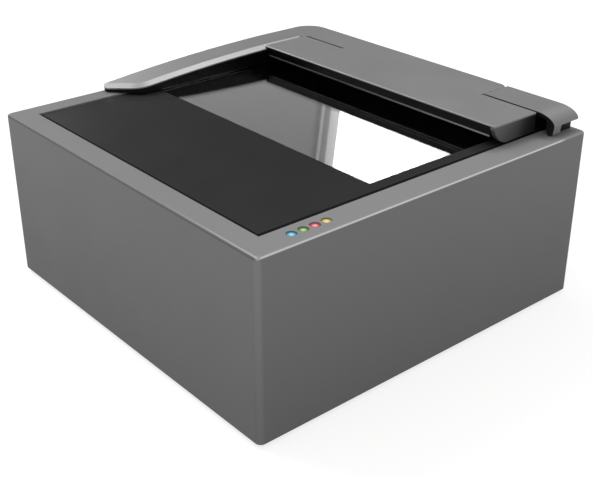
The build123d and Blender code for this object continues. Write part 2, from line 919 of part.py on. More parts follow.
# Rear connector panel and its screws
with BuildPart() as connector_panel:
    with BuildSketch(Plane.XZ.offset(-panel_back)) as plate:
        with Locations((0, panel_middle)):
            RectangleRounded(panel_width - 2 * panel_gap, panel_height - 2 * panel_gap, panel_corner)
    extrude(plate.sketch, amount=panel_thickness)
    for x, width, height in ((usb_x, usb_width, usb_height), (power_x, power_width, power_height)):
        block(
            (x - width / 2 - socket_gap, x + width / 2 + socket_gap),
            (panel_front - 1, back),
            (board_top - socket_gap, board_top + height + socket_gap),
            Mode.SUBTRACT,
        )
    along_y(panel_spots, screw_radius + fit_gap, (panel_front - 1, back), Mode.SUBTRACT)
    head_seat = (panel_back - panel_screw_head, back)
    along_y(panel_spots, screw_head_radius + fit_gap, head_seat, Mode.SUBTRACT)

connector_panel.part.label = "connector_panel"
export_step(connector_panel.part, "parts/connector_panel.step")

with BuildPart() as connector_panel_screws:
    along_y(panel_spots, screw_head_radius, (head_seat[0], panel_back + panel_recess / 2))
    along_y(panel_spots, screw_radius, (back - wall - panel_screw_reach, panel_back))

connector_panel_screws.part.label = "connector_panel_screws"
export_step(connector_panel_screws.part, "parts/connector_panel_screws.step")

# Square data socket with clipped upper corners
socket_y = (panel_back - socket_depth, panel_back)
usb_z = board_top + usb_height / 2
with BuildPart() as usb_socket:
    block((usb_x - usb_width / 2, usb_x + usb_width / 2), socket_y, (board_top, board_top + usb_height))
    with BuildSketch(Plane.XZ.offset(-panel_back)) as mouth:
        with Locations((usb_x, usb_z)):
            Rectangle(usb_mouth_width, usb_mouth_height)
        chamfer(mouth.vertices().group_by(Axis.Y)[-1], 1.8)
        with Locations((usb_x, usb_z)):
            Rectangle(usb_mouth_width / 1.5, usb_mouth_height / 2.4, mode=Mode.SUBTRACT)
    extrude(mouth.sketch, amount=socket_mouth_depth, mode=Mode.SUBTRACT)

usb_socket.part.label = "usb_socket"
export_step(usb_socket.part, "parts/usb_socket.step")

# Round power socket with a centre pin
power_z = board_top + power_height / 2 + 0.5
with BuildPart() as power_socket:
    block(
        (power_x - power_width / 2, power_x + power_width / 2),
        socket_y,
        (board_top, board_top + power_height),
    )
    mouth_y = (panel_back - socket_mouth_depth, panel_back)
    along_y([(power_x, power_z)], power_mouth_radius, mouth_y, Mode.SUBTRACT)
    along_y([(power_x, power_z)], 1.0, (mouth_y[0], panel_back - 1))

power_socket.part.label = "power_socket"
export_step(power_socket.part, "parts/power_socket.step")

# Hood cover: one moulding of arm, bar, rear tongue and hinge barrel
left_pin_x = (ear_left - pin_overrun, ear_right + pin_overrun)
right_pin_x = (tongue_right - pin_overrun - 2, block_left + pin_overrun)
pocket_left = ear_pocket_right + boss_length
pocket_right = right_pin_x[0] - pocket_rib
pocket_length = (pocket_right - pocket_left - (pocket_count - 1) * pocket_rib) / pocket_count
hood_screw_spots = [
    (cell_x, arm_level - 3),
    (cell_x, stop_front - 11),
    (arm_right + 14, stop_front - 2.4),
    (-8, stop_front - 2.4),
    (tongue_right - 11, stop_front - 2.4),
]

with BuildPart() as hood_cover:
    # Arm: nose outline, rising top line, bevelled inner edge
    extrude(arm_plan(0), amount=hood_height)
    arm_side = under_top_line(hood_left - 1, 0, (arm_tip - 1, hood_back + 0.5))
    extrude(arm_side, amount=arm_width + 2, mode=Mode.INTERSECT)
    inner_wall = faces().filter_by(Axis.X).sort_by(Axis.X)[-1]
    rising_edge = inner_wall.edges().filter_by(GeomType.CIRCLE)[0]
    chamfer(rising_edge, length=bevel_drop, length2=bevel_width, reference=inner_wall)
    # Rear tongue, with the outer edges rounded in one run
    tongue_left = arm_right - bevel_width - 0.5
    block((tongue_left, tongue_right), (bar_back - 2, hood_back), (hood_under, hood_top))
    rear_corner = edges().filter_by(Axis.Z).sort_by_distance((tongue_right, hood_back, hinge_z))[0]
    fillet(rear_corner, tongue_corner_radius)
    rear_edge = edges().filter_by(Axis.X).sort_by_distance((0, hood_back, hood_top))[0]
    fillet(rear_edge, hood_edge_round)
    extrude(nose_waste(), amount=2 * hood_height, mode=Mode.SUBTRACT)
    # Bar across the window, and the cheek that closes its right end
    block((arm_right - bar_overlap, bar_right), (bar_front, bar_back), (ceiling, hood_top))
    with BuildSketch(Plane.YZ.offset(cheek_inside)) as cheek:
        with BuildLine():
            ThreePointArc(
                (bar_front, hood_top),
                (bar_front + cheek_belly, deck + cheek_belly_height),
                (bar_front + cheek_foot, hood_under),
            )
            Polyline(
                (bar_front + cheek_foot, hood_under),
                (bar_back - cheek_heel, hood_under),
                (bar_back, hood_under + cheek_heel),
                (bar_back, hood_top),
                (bar_front, hood_top),
            )
        make_face()
    extrude(cheek.sketch, amount=cheek_wall)
    bar_edges = [
        edges().filter_by(Axis.X).sort_by_distance((0, bar_front, hood_top))[0],
        edges().filter_by(Axis.Y).sort_by_distance((bar_right, bar_front, hood_top))[0],
    ]
    fillet(bar_edges, bar_edge_round)
    # Space for the liner
    core = under_top_line(hood_left + cover_wall, cover_wall, (arm_tip - 1, liner_back + fit_gap))
    extrude(core, amount=arm_width, mode=Mode.SUBTRACT)
    block(
        (arm_right - 1, tongue_right + 1),
        (bar_front + 3, liner_back + fit_gap),
        (hood_under - 1, ceiling),
        Mode.SUBTRACT,
    )
    block(
        (arm_right, cheek_inside),
        (bar_front - 1, bar_front + fascia_thickness + fit_gap),
        (hood_under - 1, hood_top - fascia_edge),
        Mode.SUBTRACT,
    )
    # Heel that turns clear of the deck
    with BuildSketch(Plane.YZ.offset(hood_left - 1)) as waste:
        with Locations((hinge_y + hinge_radius, hinge_z - hinge_radius)):
            Rectangle(2 * hinge_radius, 2 * hinge_radius)
        with Locations((hinge_y, hinge_z)):
            Circle(hinge_radius, mode=Mode.SUBTRACT)
    extrude(waste.sketch, amount=housing_width, mode=Mode.SUBTRACT)
    # Cored pockets, pocket for the fixed ear, pin bores
    for count in range(pocket_count):
        start = pocket_left + count * (pocket_length + pocket_rib)
        block(
            (start, start + pocket_length),
            (liner_back + fit_gap + pocket_inset, hood_back - pocket_inset),
            (hood_under - 1, hood_under + pocket_height),
            Mode.SUBTRACT,
        )
    block(
        (ear_pocket_left, ear_pocket_right),
        (liner_back, hood_back + 1),
        (hood_under - 1, deck + ear_pocket_height),
        Mode.SUBTRACT,
    )
    bore = pin_radius + pin_run
    along_x(hinge_y, hinge_z, bore, (left_pin_x[0] - 0.3, left_pin_x[1] + 0.3), Mode.SUBTRACT)
    along_x(hinge_y, hinge_z, bore, (right_pin_x[0] - 0.3, tongue_right + 1), Mode.SUBTRACT)
    # Round end of the rear slit, blind groove, screw holes
    slit_end = [(tongue_right + body_gap / 2, bar_back + slit_width / 2)]
    upright(slit_end, slit_end_radius, (hood_under, hood_top + 1), Mode.SUBTRACT)
    with BuildSketch(Plane.XY.offset(hood_top - groove_depth)) as groove:
        with Locations((arm_right + groove_length / 2, bar_back + fit_gap)):
            SlotOverall(groove_length, groove_width)
    extrude(groove.sketch, amount=groove_depth + 1, mode=Mode.SUBTRACT)
    upright(hood_screw_spots, screw_radius + pin_fit, (ceiling - 1, ceiling + 1), Mode.SUBTRACT)

hood_cover.part.label = "hood_cover"
export_step(hood_cover.part, "parts/hood_cover.step")

# Hood liner: black core of the arm, fascia, slot ceiling and paper stop
rest_pad_y = cell_front - rest_pad_first
rest_pad_spots = [(cell_x, rest_pad_y), (cell_x, rest_pad_y - rest_pad_pitch)]
rest_pad_low = deck + rest_pad_gap
with BuildPart() as hood_liner:
    extrude(arm_plan(liner_drop), amount=hood_height)
    liner_side = under_top_line(hood_left, liner_drop, (arm_tip - 1, liner_back))
    extrude(liner_side, amount=arm_width + 1, mode=Mode.INTERSECT)
    extrude(nose_waste(), amount=2 * hood_height, mode=Mode.SUBTRACT)
    # Ribbed cells that open downwards
    for count in range(cell_count):
        cell_start = cell_front + count * (cell_length + cell_rib)
        cell = under_top_line(
            cell_left, liner_drop + liner_wall, (cell_start, cell_start + cell_length)
        )
        extrude(cell, amount=cell_right - cell_left, mode=Mode.SUBTRACT)
    # Slot ceiling, paper stop and fascia with its lip bead
    slot_x = (arm_right, cheek_inside - fit_gap)
    tongue_x = (arm_right, tongue_right)
    block(slot_x, (bar_front, bar_back - fit_gap), (liner_under, liner_top))
    block(tongue_x, (bar_back - 1, liner_back), (liner_under, liner_top))
    block(tongue_x, (stop_front, liner_back), (hood_under, liner_top))
    block(
        slot_x,
        (bar_front, bar_front + fascia_thickness),
        (deck + slot_clear, hood_top - fascia_edge - fit_gap),
    )
    bead_y = bar_front + bead_radius - bead_stand
    along_x(bead_y, deck + slot_clear + bead_radius - bead_stand, bead_radius, slot_x)
    # Screw holes and seats for the rest pads
    upright(hood_screw_spots, screw_radius + fit_gap, (liner_under - 1, hood_top), Mode.SUBTRACT)
    for x, y in rest_pad_spots:
        block(
            (x - rest_pad_width / 2, x + rest_pad_width / 2),
            (y - rest_pad_length / 2, y + rest_pad_length / 2),
            (hood_under - 1, rest_pad_low + rest_pad_thickness),
            Mode.SUBTRACT,
        )

hood_liner.part.label = "hood_liner"
export_step(hood_liner.part, "parts/hood_liner.step")

# Soft pad over the document slot
with BuildPart() as document_pad:
    block(
        (arm_right + pad_inset, cheek_inside - pad_inset),
        (bar_front + pad_inset, bar_back - fit_gap),
        (liner_under - pad_thickness, liner_under),
    )

document_pad.part.label = "document_pad"
export_step(document_pad.part, "parts/document_pad.step")

# Rest pads under the arm
with BuildPart() as hood_rest_pads:
    for x, y in rest_pad_spots:
        block(
            (x - rest_pad_width / 2 + fit_gap, x + rest_pad_width / 2 - fit_gap),
            (y - rest_pad_length / 2 + fit_gap, y + rest_pad_length / 2 - fit_gap),
            (rest_pad_low, rest_pad_low + rest_pad_thickness),
        )

hood_rest_pads.part.label = "hood_rest_pads"
export_step(hood_rest_pads.part, "parts/hood_rest_pads.step")

# Screws that hold the liner in the cover
with BuildPart() as hood_screws:
    head_low = liner_under - fit_gap - screw_head_height
    screws(hood_screw_spots, head_low, ceiling + 0.9)

hood_screws.part.label = "hood_screws"
export_step(hood_screws.part, "parts/hood_screws.step")

# Fixed hinge ear on the deck, left
with BuildPart() as hinge_ear:
    along_x(hinge_y, hinge_z, ear_radius, (ear_left, ear_right))
    block((ear_left, ear_right), (hinge_y - ear_radius, hinge_y + 2), (deck, hinge_z))
    flange_back = hinge_y + 2
    block(
        (ear_left - ear_flange_side, ear_right + ear_flange_side),
        (flange_back - ear_flange_depth, flange_back),
        (deck, deck + ear_flange_height),
    )
    along_x(hinge_y, hinge_z, pin_radius + pin_fit, (ear_left - 1, ear_right + 1), Mode.SUBTRACT)
    ear_bore = (deck - 1, deck + ear_screw_reach + fit_gap)
    upright(ear_screw_spots, screw_radius + pin_fit, ear_bore, Mode.SUBTRACT)

hinge_ear.part.label = "hinge_ear"
export_step(hinge_ear.part, "parts/hinge_ear.step")

# Fixed hinge block on the deck, right
with BuildPart() as hinge_block:
    with BuildSketch(Plane.XZ.offset(-block_back)) as profile:
        with BuildLine():
            Polyline(
                (block_left, deck),
                (block_right, deck),
                (block_right, deck + hinge_block_low_end),
                (block_right - hinge_cover_curve / 2, deck + hinge_block_height - 0.3),
                (block_left, deck + hinge_block_height),
                close=True,
            )
        make_face()
    extrude(profile.sketch, amount=hinge_block_depth)
    bore_end = right_pin_x[1] + 0.3
    along_x(hinge_y, hinge_z, pin_radius + pin_fit, (block_left - 1, bore_end), Mode.SUBTRACT)
    block_bore = (deck - 1, deck + block_screw_reach + fit_gap)
    upright(block_screw_spots, screw_radius + pin_fit, block_bore, Mode.SUBTRACT)

hinge_block.part.label = "hinge_block"
export_step(hinge_block.part, "parts/hinge_block.step")

# Screws that hold ear and block from under the deck
with BuildPart() as hinge_screws:
    screws(ear_screw_spots, deck_under - screw_head_height, deck + ear_screw_reach)
    screws(block_screw_spots, deck_under - screw_head_height, deck + block_screw_reach)

hinge_screws.part.label = "hinge_screws"
export_step(hinge_screws.part, "parts/hinge_screws.step")

# Hinge pins
with BuildPart() as hinge_pin_left:
    along_x(hinge_y, hinge_z, pin_radius, left_pin_x)
    fillet(edges().filter_by(GeomType.CIRCLE), 0.3)

hinge_pin_left.part.label = "hinge_pin_left"
export_step(hinge_pin_left.part, "parts/hinge_pin_left.step")

with BuildPart() as hinge_pin_right:
    along_x(hinge_y, hinge_z, pin_radius, right_pin_x)
    fillet(edges().filter_by(GeomType.CIRCLE), 0.3)

hinge_pin_right.part.label = "hinge_pin_right"
export_step(hinge_pin_right.part, "parts/hinge_pin_right.step")

# Fixed hinge cover with a drooping curved end and a small leg
curve_x = cover_right - hinge_cover_curve
curve_z = hood_top - hinge_cover_beak
with BuildPart() as hinge_cover:
    with BuildSketch(Plane.XZ.offset(-hood_back)) as skin:
        with BuildLine():
            EllipticalCenterArc(
                (curve_x, curve_z), hinge_cover_curve, hinge_cover_beak, start_angle=0, arc_size=90
            )
            Polyline(
                (curve_x, hood_top),
                (cover_left, hood_top),
                (cover_left, hood_top - hinge_cover_wall),
                (curve_x, hood_top - hinge_cover_wall),
            )
            EllipticalCenterArc(
                (curve_x, curve_z),
                hinge_cover_curve - hinge_cover_wall,
                hinge_cover_beak - hinge_cover_wall,
                start_angle=0,
                arc_size=90,
            )
            Line((cover_right - hinge_cover_wall, curve_z), (cover_right, curve_z))
        make_face()
    extrude(skin.sketch, amount=hood_back - cover_front)
    rear_rim = edges().filter_by(Axis.X).sort_by_distance((cover_left, hood_back, hood_top))[0]
    fillet(rear_rim, hood_edge_round)
    # Leg under the front of the curved end
    with BuildSketch(Plane.XZ.offset(-cover_front - hinge_leg_depth)) as leg:
        with BuildLine():
            Polyline(
                (cover_right, curve_z + 0.1),
                (cover_right - 0.4, deck + 0.9),
                (cover_right - 1.1, deck),
                (cover_right - 2.4, deck),
                (cover_right - 3.2, deck + 0.9),
                (cover_right - 3.8, deck + 5.4),
                (cover_right - 1.5, deck + 6.0),
                close=True,
            )
        make_face()
    extrude(leg.sketch, amount=hinge_leg_depth)
    block(
        (cover_left, curve_x + hinge_cover_curve / 2),
        (hood_back - hinge_cover_wall, hood_back - 0.05),
        (hood_under, hood_top - hinge_cover_wall / 2),
    )

hinge_cover.part.label = "hinge_cover"
export_step(hinge_cover.part, "parts/hinge_cover.step")
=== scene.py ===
"""Finishes, cross-recess screws and studio for a desktop scanner with a lift-up hood.

Every size is in metres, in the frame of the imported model: +X right, +Y back, +Z up.
"""

import math

import bmesh
import bpy
from bpy.props import FloatProperty, FloatVectorProperty, IntProperty, PointerProperty
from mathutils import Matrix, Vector

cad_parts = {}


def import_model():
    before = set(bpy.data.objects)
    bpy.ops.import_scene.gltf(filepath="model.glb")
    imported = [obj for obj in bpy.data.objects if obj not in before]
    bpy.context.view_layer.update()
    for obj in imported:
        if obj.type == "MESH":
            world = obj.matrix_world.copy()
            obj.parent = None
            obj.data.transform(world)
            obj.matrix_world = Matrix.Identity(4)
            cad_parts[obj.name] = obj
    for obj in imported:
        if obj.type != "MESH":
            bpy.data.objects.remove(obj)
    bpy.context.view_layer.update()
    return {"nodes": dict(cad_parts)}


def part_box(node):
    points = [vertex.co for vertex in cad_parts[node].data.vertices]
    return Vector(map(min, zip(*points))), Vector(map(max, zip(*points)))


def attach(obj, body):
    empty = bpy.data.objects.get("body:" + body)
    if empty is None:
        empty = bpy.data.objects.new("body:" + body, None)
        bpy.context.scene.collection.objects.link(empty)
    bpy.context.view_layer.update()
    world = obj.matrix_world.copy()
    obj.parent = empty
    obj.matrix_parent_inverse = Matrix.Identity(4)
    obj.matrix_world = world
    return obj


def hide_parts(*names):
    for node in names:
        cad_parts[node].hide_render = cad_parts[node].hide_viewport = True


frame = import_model()
nodes = frame["nodes"]

bl_info = {
    "name": "Desktop scanner finishes",
    "version": (1, 0, 0),
    "blender": (4, 5, 0),
    "location": "3D View > Sidebar > Scanner",
    "description": "Dresses a desktop scanner with its materials, screws and studio",
    "category": "Object",
}

MM = 0.001
# The front of the liner's lip over the slot, and the top of the housing's rim.
LIP_FRONT = 39.5 * MM
EDGE_TOP = 70.1 * MM
WHITE = (1.0, 1.0, 1.0, 1.0)
# The painted shade that a seam, a slit or a shaded end shows instead of its own colour, and worn nickel
# plate.
PAINTED_SHADE_BLACK = "060606"
NICKEL = "c4c1b8"
# Where noise mostly lies, of its range from nought to one, and how much more specks differ than patches do.
NOISE_REACH = (0.3, 0.7)
SPECK_SHARE = 1.4
# Half the width over which a mask round a middle fades.
FADE = 0.05 * MM
# The sockets of a Mix node that hold colours.
MIX_FIRST, MIX_SECOND, MIX_RESULT = 6, 7, 2


def linear(hex_colour):
    """Turn an sRGB hex colour into the linear red, green and blue that Blender mixes."""
    shares = [int(hex_colour[at : at + 2], 16) / 255 for at in (0, 2, 4)]
    return tuple(s / 12.92 if s <= 0.04045 else ((s + 0.055) / 1.055) ** 2.4 for s in shares)


def colour(name, description, hex_colour):
    """A colour that the user may change, with its default written as sRGB hex."""
    return FloatVectorProperty(
        name=name,
        description=description,
        default=linear(hex_colour),
        subtype="COLOR",
        size=3,
        min=0.0,
        max=1.0,
    )


def length(name, description, millimetres):
    """A length that the user may change, kept in metres."""
    return FloatProperty(
        name=name,
        description=description,
        default=millimetres * MM,
        subtype="DISTANCE",
        unit="LENGTH",
        min=0.0,
        precision=5,
    )


def power(name, description, watts):
    """A lamp's power that the user may change."""
    return FloatProperty(name=name, description=description, default=watts, min=0.0, unit="POWER")


def strength(name, description, usual, most):
    """A strength of light that the user may change."""
    return FloatProperty(name=name, description=description, default=usual, min=0.0, max=most)


class ScannerColours(bpy.types.PropertyGroup):
    """The colours of the finishes."""

    housing: colour("Housing", "Grey of the moulded housing", "757575")
    hood: colour("Hood", "Grey of the hood and its hinge cover", "7a7a7a")
    plate: colour("Cover plate", "Black of the plate round the window", "2f2f30")
    liner: colour("Liner", "Black of the hood's inner moulding", "060607")
    base: colour("Base plate", "Powder coat of the steel base", "2a2b2c")
    board: colour("Circuit board", "Solder mask", "0c4a26")
    light_blue: colour("Blue light", "First status light", "4aa6c0")
    light_green: colour("Green light", "Second status light", "6e9e48")
    light_red: colour("Red light", "Third status light", "cf5660")
    light_yellow: colour("Yellow light", "Fourth status light", "c6ae58")


class ScannerSizes(bpy.types.PropertyGroup):
    """The sizes of the fittings and patterns."""

    recess_width: length("Recess width", "Width of one arm of a screw's cross recess", 0.75)
    recess_length: length("Recess length", "Length of the cross recess", 2.5)
    recess_depth: length("Recess depth", "Depth of the cross recess", 0.9)
    thread_pitch: length("Thread pitch", "Distance between two turns of a screw's thread", 1.0)
    thread_depth: length("Thread depth", "How far the thread stands off its core", 0.22)
    housing_grain: length("Housing grain", "Size of the housing's spark-eroded grain", 0.6)
    hood_grain: length("Hood grain", "Size of the hood's finer grain", 0.5)
    screw_sides: IntProperty(
        name="Screw sides",
        description="Number of flats round a screw",
        default=24,
        min=8,
        max=64,
    )


class StudioSettings(bpy.types.PropertyGroup):
    """The light levels of the studio."""

    sky: strength("Sky light", "Strength of the even light from all round", 0.72, 4.0)
    key: power("Key lamp", "Power of the large soft lamp to the left of the scanner", 5.3)
    rim: power("Rim lamp", "Power of the lamp behind, which draws the bevels", 8.0)
    nose: power("Nose lamp", "Power of the small lamp that draws the front of the arm", 7.2)
    fill: power("Fill lamp", "Power of the weak lamp that lifts the scanner's right side", 0.55)
    edge: power("Edge lamp", "Power of the small lamp that draws the housing's right edge", 5.0)
    card: strength("Reflector", "Strength of the white card that the window mirrors", 6.5, 20.0)


# Node trees


def add(tree, kind, inputs=None, **settings):
    """Add a node with its settings. An input is a value, a socket, or a node whose first output it takes."""
    made = tree.nodes.new(kind)
    for name, value in settings.items():
        setattr(made, name, value)
    for name, value in (inputs or {}).items():
        source = value.outputs[0] if isinstance(value, bpy.types.Node) else value
        if isinstance(source, bpy.types.NodeSocket):
            tree.links.new(source, made.inputs[name])
        else:
            made.inputs[name].default_value = source
    return made


def empty_tree(owner):
    """The node tree of a material or a world, without the nodes that it starts with."""
    owner.use_nodes = True
    owner.node_tree.nodes.clear()
    return owner.node_tree


def new_material(name):
    """A material and its empty node tree."""
    made = bpy.data.materials.new(name)
    return made, empty_tree(made)


def finished(made, look):
    """End a material with its shader, whose inputs are even values or patterns."""
    tree = made.node_tree
    shader = add(tree, "ShaderNodeBsdfPrincipled", look)
    add(tree, "ShaderNodeOutputMaterial", {"Surface": shader})
    return made


def rgba(rgb, factor=1.0):
    """A colour with its alpha, lighter or darker by a factor."""
    return (*[min(1.0, channel * factor) for channel in rgb], 1.0)


def shade(hex_colour):
    """An sRGB hex colour as a node takes it."""
    return rgba(linear(hex_colour))


def grain(tree, size, detail=2.0):
    """Noise on the piece whose spots are about the given size across."""
    place = add(tree, "ShaderNodeTexCoord").outputs["Object"]
    noise = {"Vector": place, "Scale": 1 / size, "Detail": detail, "Roughness": 0.55}
    return add(tree, "ShaderNodeTexNoise", noise).outputs["Fac"]


def mixed(tree, pattern, first, second, start=0.0, end=1.0):
    """A colour that passes from the first to the second as a pattern goes from start to end."""
    share = add(tree, "ShaderNodeMapRange", {"Value": pattern, "From Min": start, "From Max": end})
    colours = {"Factor": share, MIX_FIRST: first, MIX_SECOND: second}
    return add(tree, "ShaderNodeMix", colours, data_type="RGBA").outputs[MIX_RESULT]


def moulded(name, rgb, rough, grain_size, depth, patch=18 * MM, spread=0.05, specular=0.5):
    """Moulded, cast or coated stock: a fine grain in relief, and slow changes of shade and gloss."""
    made, tree = new_material(name)
    slow = grain(tree, patch, 3.0)
    fine = grain(tree, grain_size)
    shades, specks = (
        mixed(tree, pattern, rgba(rgb, 1 - change), rgba(rgb, 1 + change), *NOISE_REACH)
        for pattern, change in ((slow, spread), (fine, SPECK_SHARE * spread))
    )
    patches = {"Value": slow, "From Min": NOISE_REACH[0], "From Max": NOISE_REACH[1]}
    share = add(tree, "ShaderNodeMapRange", {**patches, "To Min": 0.4, "To Max": 0.6}).outputs["Result"]
    dull = add(tree, "ShaderNodeMapRange", {**patches, "To Min": rough[0], "To Max": rough[1]})
    relief = add(tree, "ShaderNodeBump", {"Height": fine, "Distance": depth})
    look = {
        "Base Color": mixed(tree, share, shades, specks),
        "Roughness": dull,
        "Specular IOR Level": specular,
        "Normal": relief,
    }
    return finished(made, look)


def ramp(tree, axis, start, end, low=0.0, high=1.0, middle=None):
    """A number that goes from low to high between two places along an axis of the piece, and stays there.

    Where a middle is given, the two places are distances from it, to either side.
    """
    place = add(tree, "ShaderNodeTexCoord").outputs["Object"]
    along = add(tree, "ShaderNodeSeparateXYZ", {0: place}).outputs[axis]
    if middle is not None:
        offset = add(tree, "ShaderNodeMath", {0: along, 1: middle}, operation="SUBTRACT")
        along = add(tree, "ShaderNodeMath", {0: offset}, operation="ABSOLUTE")
    reach = {"Value": along, "From Min": start, "From Max": end, "To Min": low, "To Max": high}
    return add(tree, "ShaderNodeMapRange", reach).outputs["Result"]


def before(tree, axis, start, end):
    """One up to one place along an axis of the piece, and nought from another place on."""
    return ramp(tree, axis, start, end, 1.0, 0.0)


def near(tree, axis, middle, reach):
    """One within reach of a middle along an axis of the piece, and nought beyond."""
    return ramp(tree, axis, reach - FADE, reach + FADE, 1.0, 0.0, middle)


def overlap(tree, share, *others):
    """One where all the given shares are one, and nought where any of them is nought."""
    for other in others:
        share = add(tree, "ShaderNodeMath", {0: share, 1: other}, operation="MULTIPLY").outputs[0]
    return share


def principled(made):
    """A finish's shader."""
    return next(node for node in made.node_tree.nodes if node.bl_idname == "ShaderNodeBsdfPrincipled")


def recolour(made, share, hex_colour):
    """Pass from a finish's own colour to another one where a share is one."""
    tree = made.node_tree
    socket = principled(made).inputs["Base Color"]
    tree.links.new(mixed(tree, share, socket.links[0].from_socket, shade(hex_colour)), socket)


def plate_with_nickel(made, share):
    """Pass from a finish to worn nickel plate where a share is one."""
    recolour(made, share, NICKEL)
    made.node_tree.links.new(share, principled(made).inputs["Metallic"])


def dress(material, slot, *names):
    """Give CAD nodes a material. The slot, the finish it stands for, is not used."""
    for name in names:
        piece = nodes[name]
        piece.data.materials.clear()
        piece.data.materials.append(material)


# Finishes


def housing_plastic(colours, sizes):
    """Injection-moulded ABS, spark-eroded: mid grey and matt, with a sandy sparkle at grazing light.

    The real grain is about 0.25 mm, and is drawn coarser so that it shows.
    """
    made = moulded(
        "Spark-eroded grey ABS",
        colours.housing,
        rough=(0.52, 0.58),
        grain_size=sizes.housing_grain,
        depth=0.018 * MM,
        spread=0.03,
        specular=0.42,
    )
    tree = made.node_tree
    low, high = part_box("housing_shell")
    # The round upright corners carry a paler painted highlight, and painted shade deepens the tone a little
    # towards the foot.
    across = ramp(tree, "X", high.x - 2.4 * MM, high.x - 1.2 * MM, middle=0.0)
    deep = ramp(tree, "Y", high.y - 2.4 * MM, high.y - 1.2 * MM, middle=0.0)
    recolour(made, overlap(tree, across, deep), "898989")
    recolour(made, ramp(tree, "Z", 2 * MM, 66 * MM, 0.38, 0.0), "000000")
    # Painted shade makes the front top edge darker.
    upper = ramp(tree, "Z", EDGE_TOP - 0.9 * MM, EDGE_TOP - 0.65 * MM)
    outer = before(tree, "Y", low.y + 0.3 * MM, low.y + 0.6 * MM)
    recolour(made, overlap(tree, outer, upper), "565656")
    # A pale painted highlight lies on the front rim just behind that edge, stronger towards the right corner.
    behind = near(tree, "Y", low.y + 0.95 * MM, 0.3 * MM)
    cornerward = ramp(tree, "X", 30 * MM, 79 * MM, 0.0, 0.6)
    recolour(made, overlap(tree, behind, upper, cornerward), "c0c0c0")
    # A painted highlight makes the right top edge palest, from the front corner to the hinge.
    outer = ramp(tree, "X", high.x - 0.6 * MM, high.x - 0.4 * MM)
    upper = ramp(tree, "Z", EDGE_TOP - 0.6 * MM, EDGE_TOP - 0.4 * MM)
    rubbed = before(tree, "Y", 64 * MM, 68 * MM)
    recolour(made, overlap(tree, outer, upper, rubbed), "cacaca")
    return made


def hood_plastic(colours, sizes, name="Satin grey ABS"):
    """The same ABS from a finer mould: a satin skin that takes the lamp along its bevels."""
    return moulded(
        name,
        colours.hood,
        rough=(0.38, 0.42),
        grain_size=sizes.hood_grain,
        depth=0.02 * MM,
        spread=0.014,
    )


def hood_cover_plastic(colours, sizes):
    """Satin grey ABS, with the hinge's shade painted black over the open end of its bar."""
    made = hood_plastic(colours, sizes)
    tree = made.node_tree
    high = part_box("hood_cover")[1]
    on_end = ramp(tree, "X", high.x - 1.9 * MM, high.x - 1.7 * MM)
    below_top = before(tree, "Z", high.z - 0.8 * MM, high.z - 0.5 * MM)
    back = ramp(tree, "Y", 40 * MM, 57 * MM, 0.5, 0.98)
    recolour(made, overlap(tree, on_end, below_top, back), PAINTED_SHADE_BLACK)
    # The slit and the blind groove behind the bar are painted black below their lips, as their shade.
    groove = overlap(tree, near(tree, "Y", 64.05 * MM, 0.85 * MM), near(tree, "X", 1.0 * MM, 67.0 * MM))
    inside = before(tree, "Z", high.z - 0.35 * MM, high.z - 0.2 * MM)
    recolour(made, overlap(tree, groove, inside), PAINTED_SHADE_BLACK)
    return made


def hinge_cover_plastic(colours, sizes):
    """Satin grey ABS with its front edge, in the seam along the bar, painted black as the seam's shade."""
    made = hood_plastic(colours, sizes, "Satin grey ABS, black seam")
    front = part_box("hinge_cover")[0].y
    recolour(made, before(made.node_tree, "Y", front + 0.04 * MM, front + 0.16 * MM), PAINTED_SHADE_BLACK)
    return made


def plate_plastic(colours):
    """Black ABS plate, satin moulded: it mirrors the room as a soft veil, and its border is painted black as
    the shade of the gap round it.
    """
    made = moulded(
        "Satin black ABS",
        colours.plate,
        rough=(0.34, 0.38),
        grain_size=0.5 * MM,
        depth=0.006 * MM,
        spread=0.02,
        specular=0.23,
    )
    tree = made.node_tree
    low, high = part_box("cover_plate")
    # Painted shade of the gap round the plate darkens its right and front borders. The rim hides the right
    # border's first millimetre from the front right, so its dark part is two wide.
    right = ramp(tree, "X", high.x - 2.1 * MM, high.x - 1.9 * MM)
    front = before(tree, "Y", low.y + 1.1 * MM, low.y + 1.3 * MM)
    border = add(tree, "ShaderNodeMath", {0: right, 1: front}, operation="MAXIMUM").outputs[0]
    roughness = principled(made).inputs["Roughness"]
    levels = {0: roughness.links[0].from_socket, 1: border}
    tree.links.new(add(tree, "ShaderNodeMath", levels, operation="MAXIMUM").outputs[0], roughness)
    recolour(made, border, "000000")
    return made


def liner_plastic(colours):
    """Black glass-filled nylon, fine-textured: nearly lightless with a dull edge shine."""
    return moulded(
        "Black nylon",
        colours.liner,
        rough=(0.34, 0.46),
        grain_size=0.6 * MM,
        depth=0.01 * MM,
        spread=0.1,
        specular=0.12,
    )


def lip_highlight_liner_plastic(colours):
    """The same nylon, its lip over the slot painted pale as a highlight that grows towards the open end."""
    made = moulded(
        "Rubbed black nylon",
        colours.liner,
        rough=(0.26, 0.34),
        grain_size=0.6 * MM,
        depth=0.006 * MM,
        spread=0.1,
        specular=0.2,
    )
    tree = made.node_tree
    lip = before(tree, "Y", LIP_FRONT + 0.08 * MM, LIP_FRONT + 0.16 * MM)
    recolour(made, overlap(tree, lip, ramp(tree, "X", -14 * MM, 60 * MM)), "7c7c7c")
    return made


def panel_plastic():
    """Black polycarbonate panel with a satin moulded skin round the sockets."""
    return moulded(
        "Black polycarbonate",
        linear("19191b"),
        rough=(0.38, 0.5),
        grain_size=0.6 * MM,
        depth=0.015 * MM,
        spread=0.08,
    )


def base_coat(colours):
    """Powder-coated sheet steel: dark grey with the faint orange peel that the baked powder leaves."""
    return moulded(
        "Powder-coated steel",
        colours.base,
        rough=(0.42, 0.58),
        grain_size=1.1 * MM,
        depth=0.04 * MM,
        spread=0.08,
    )


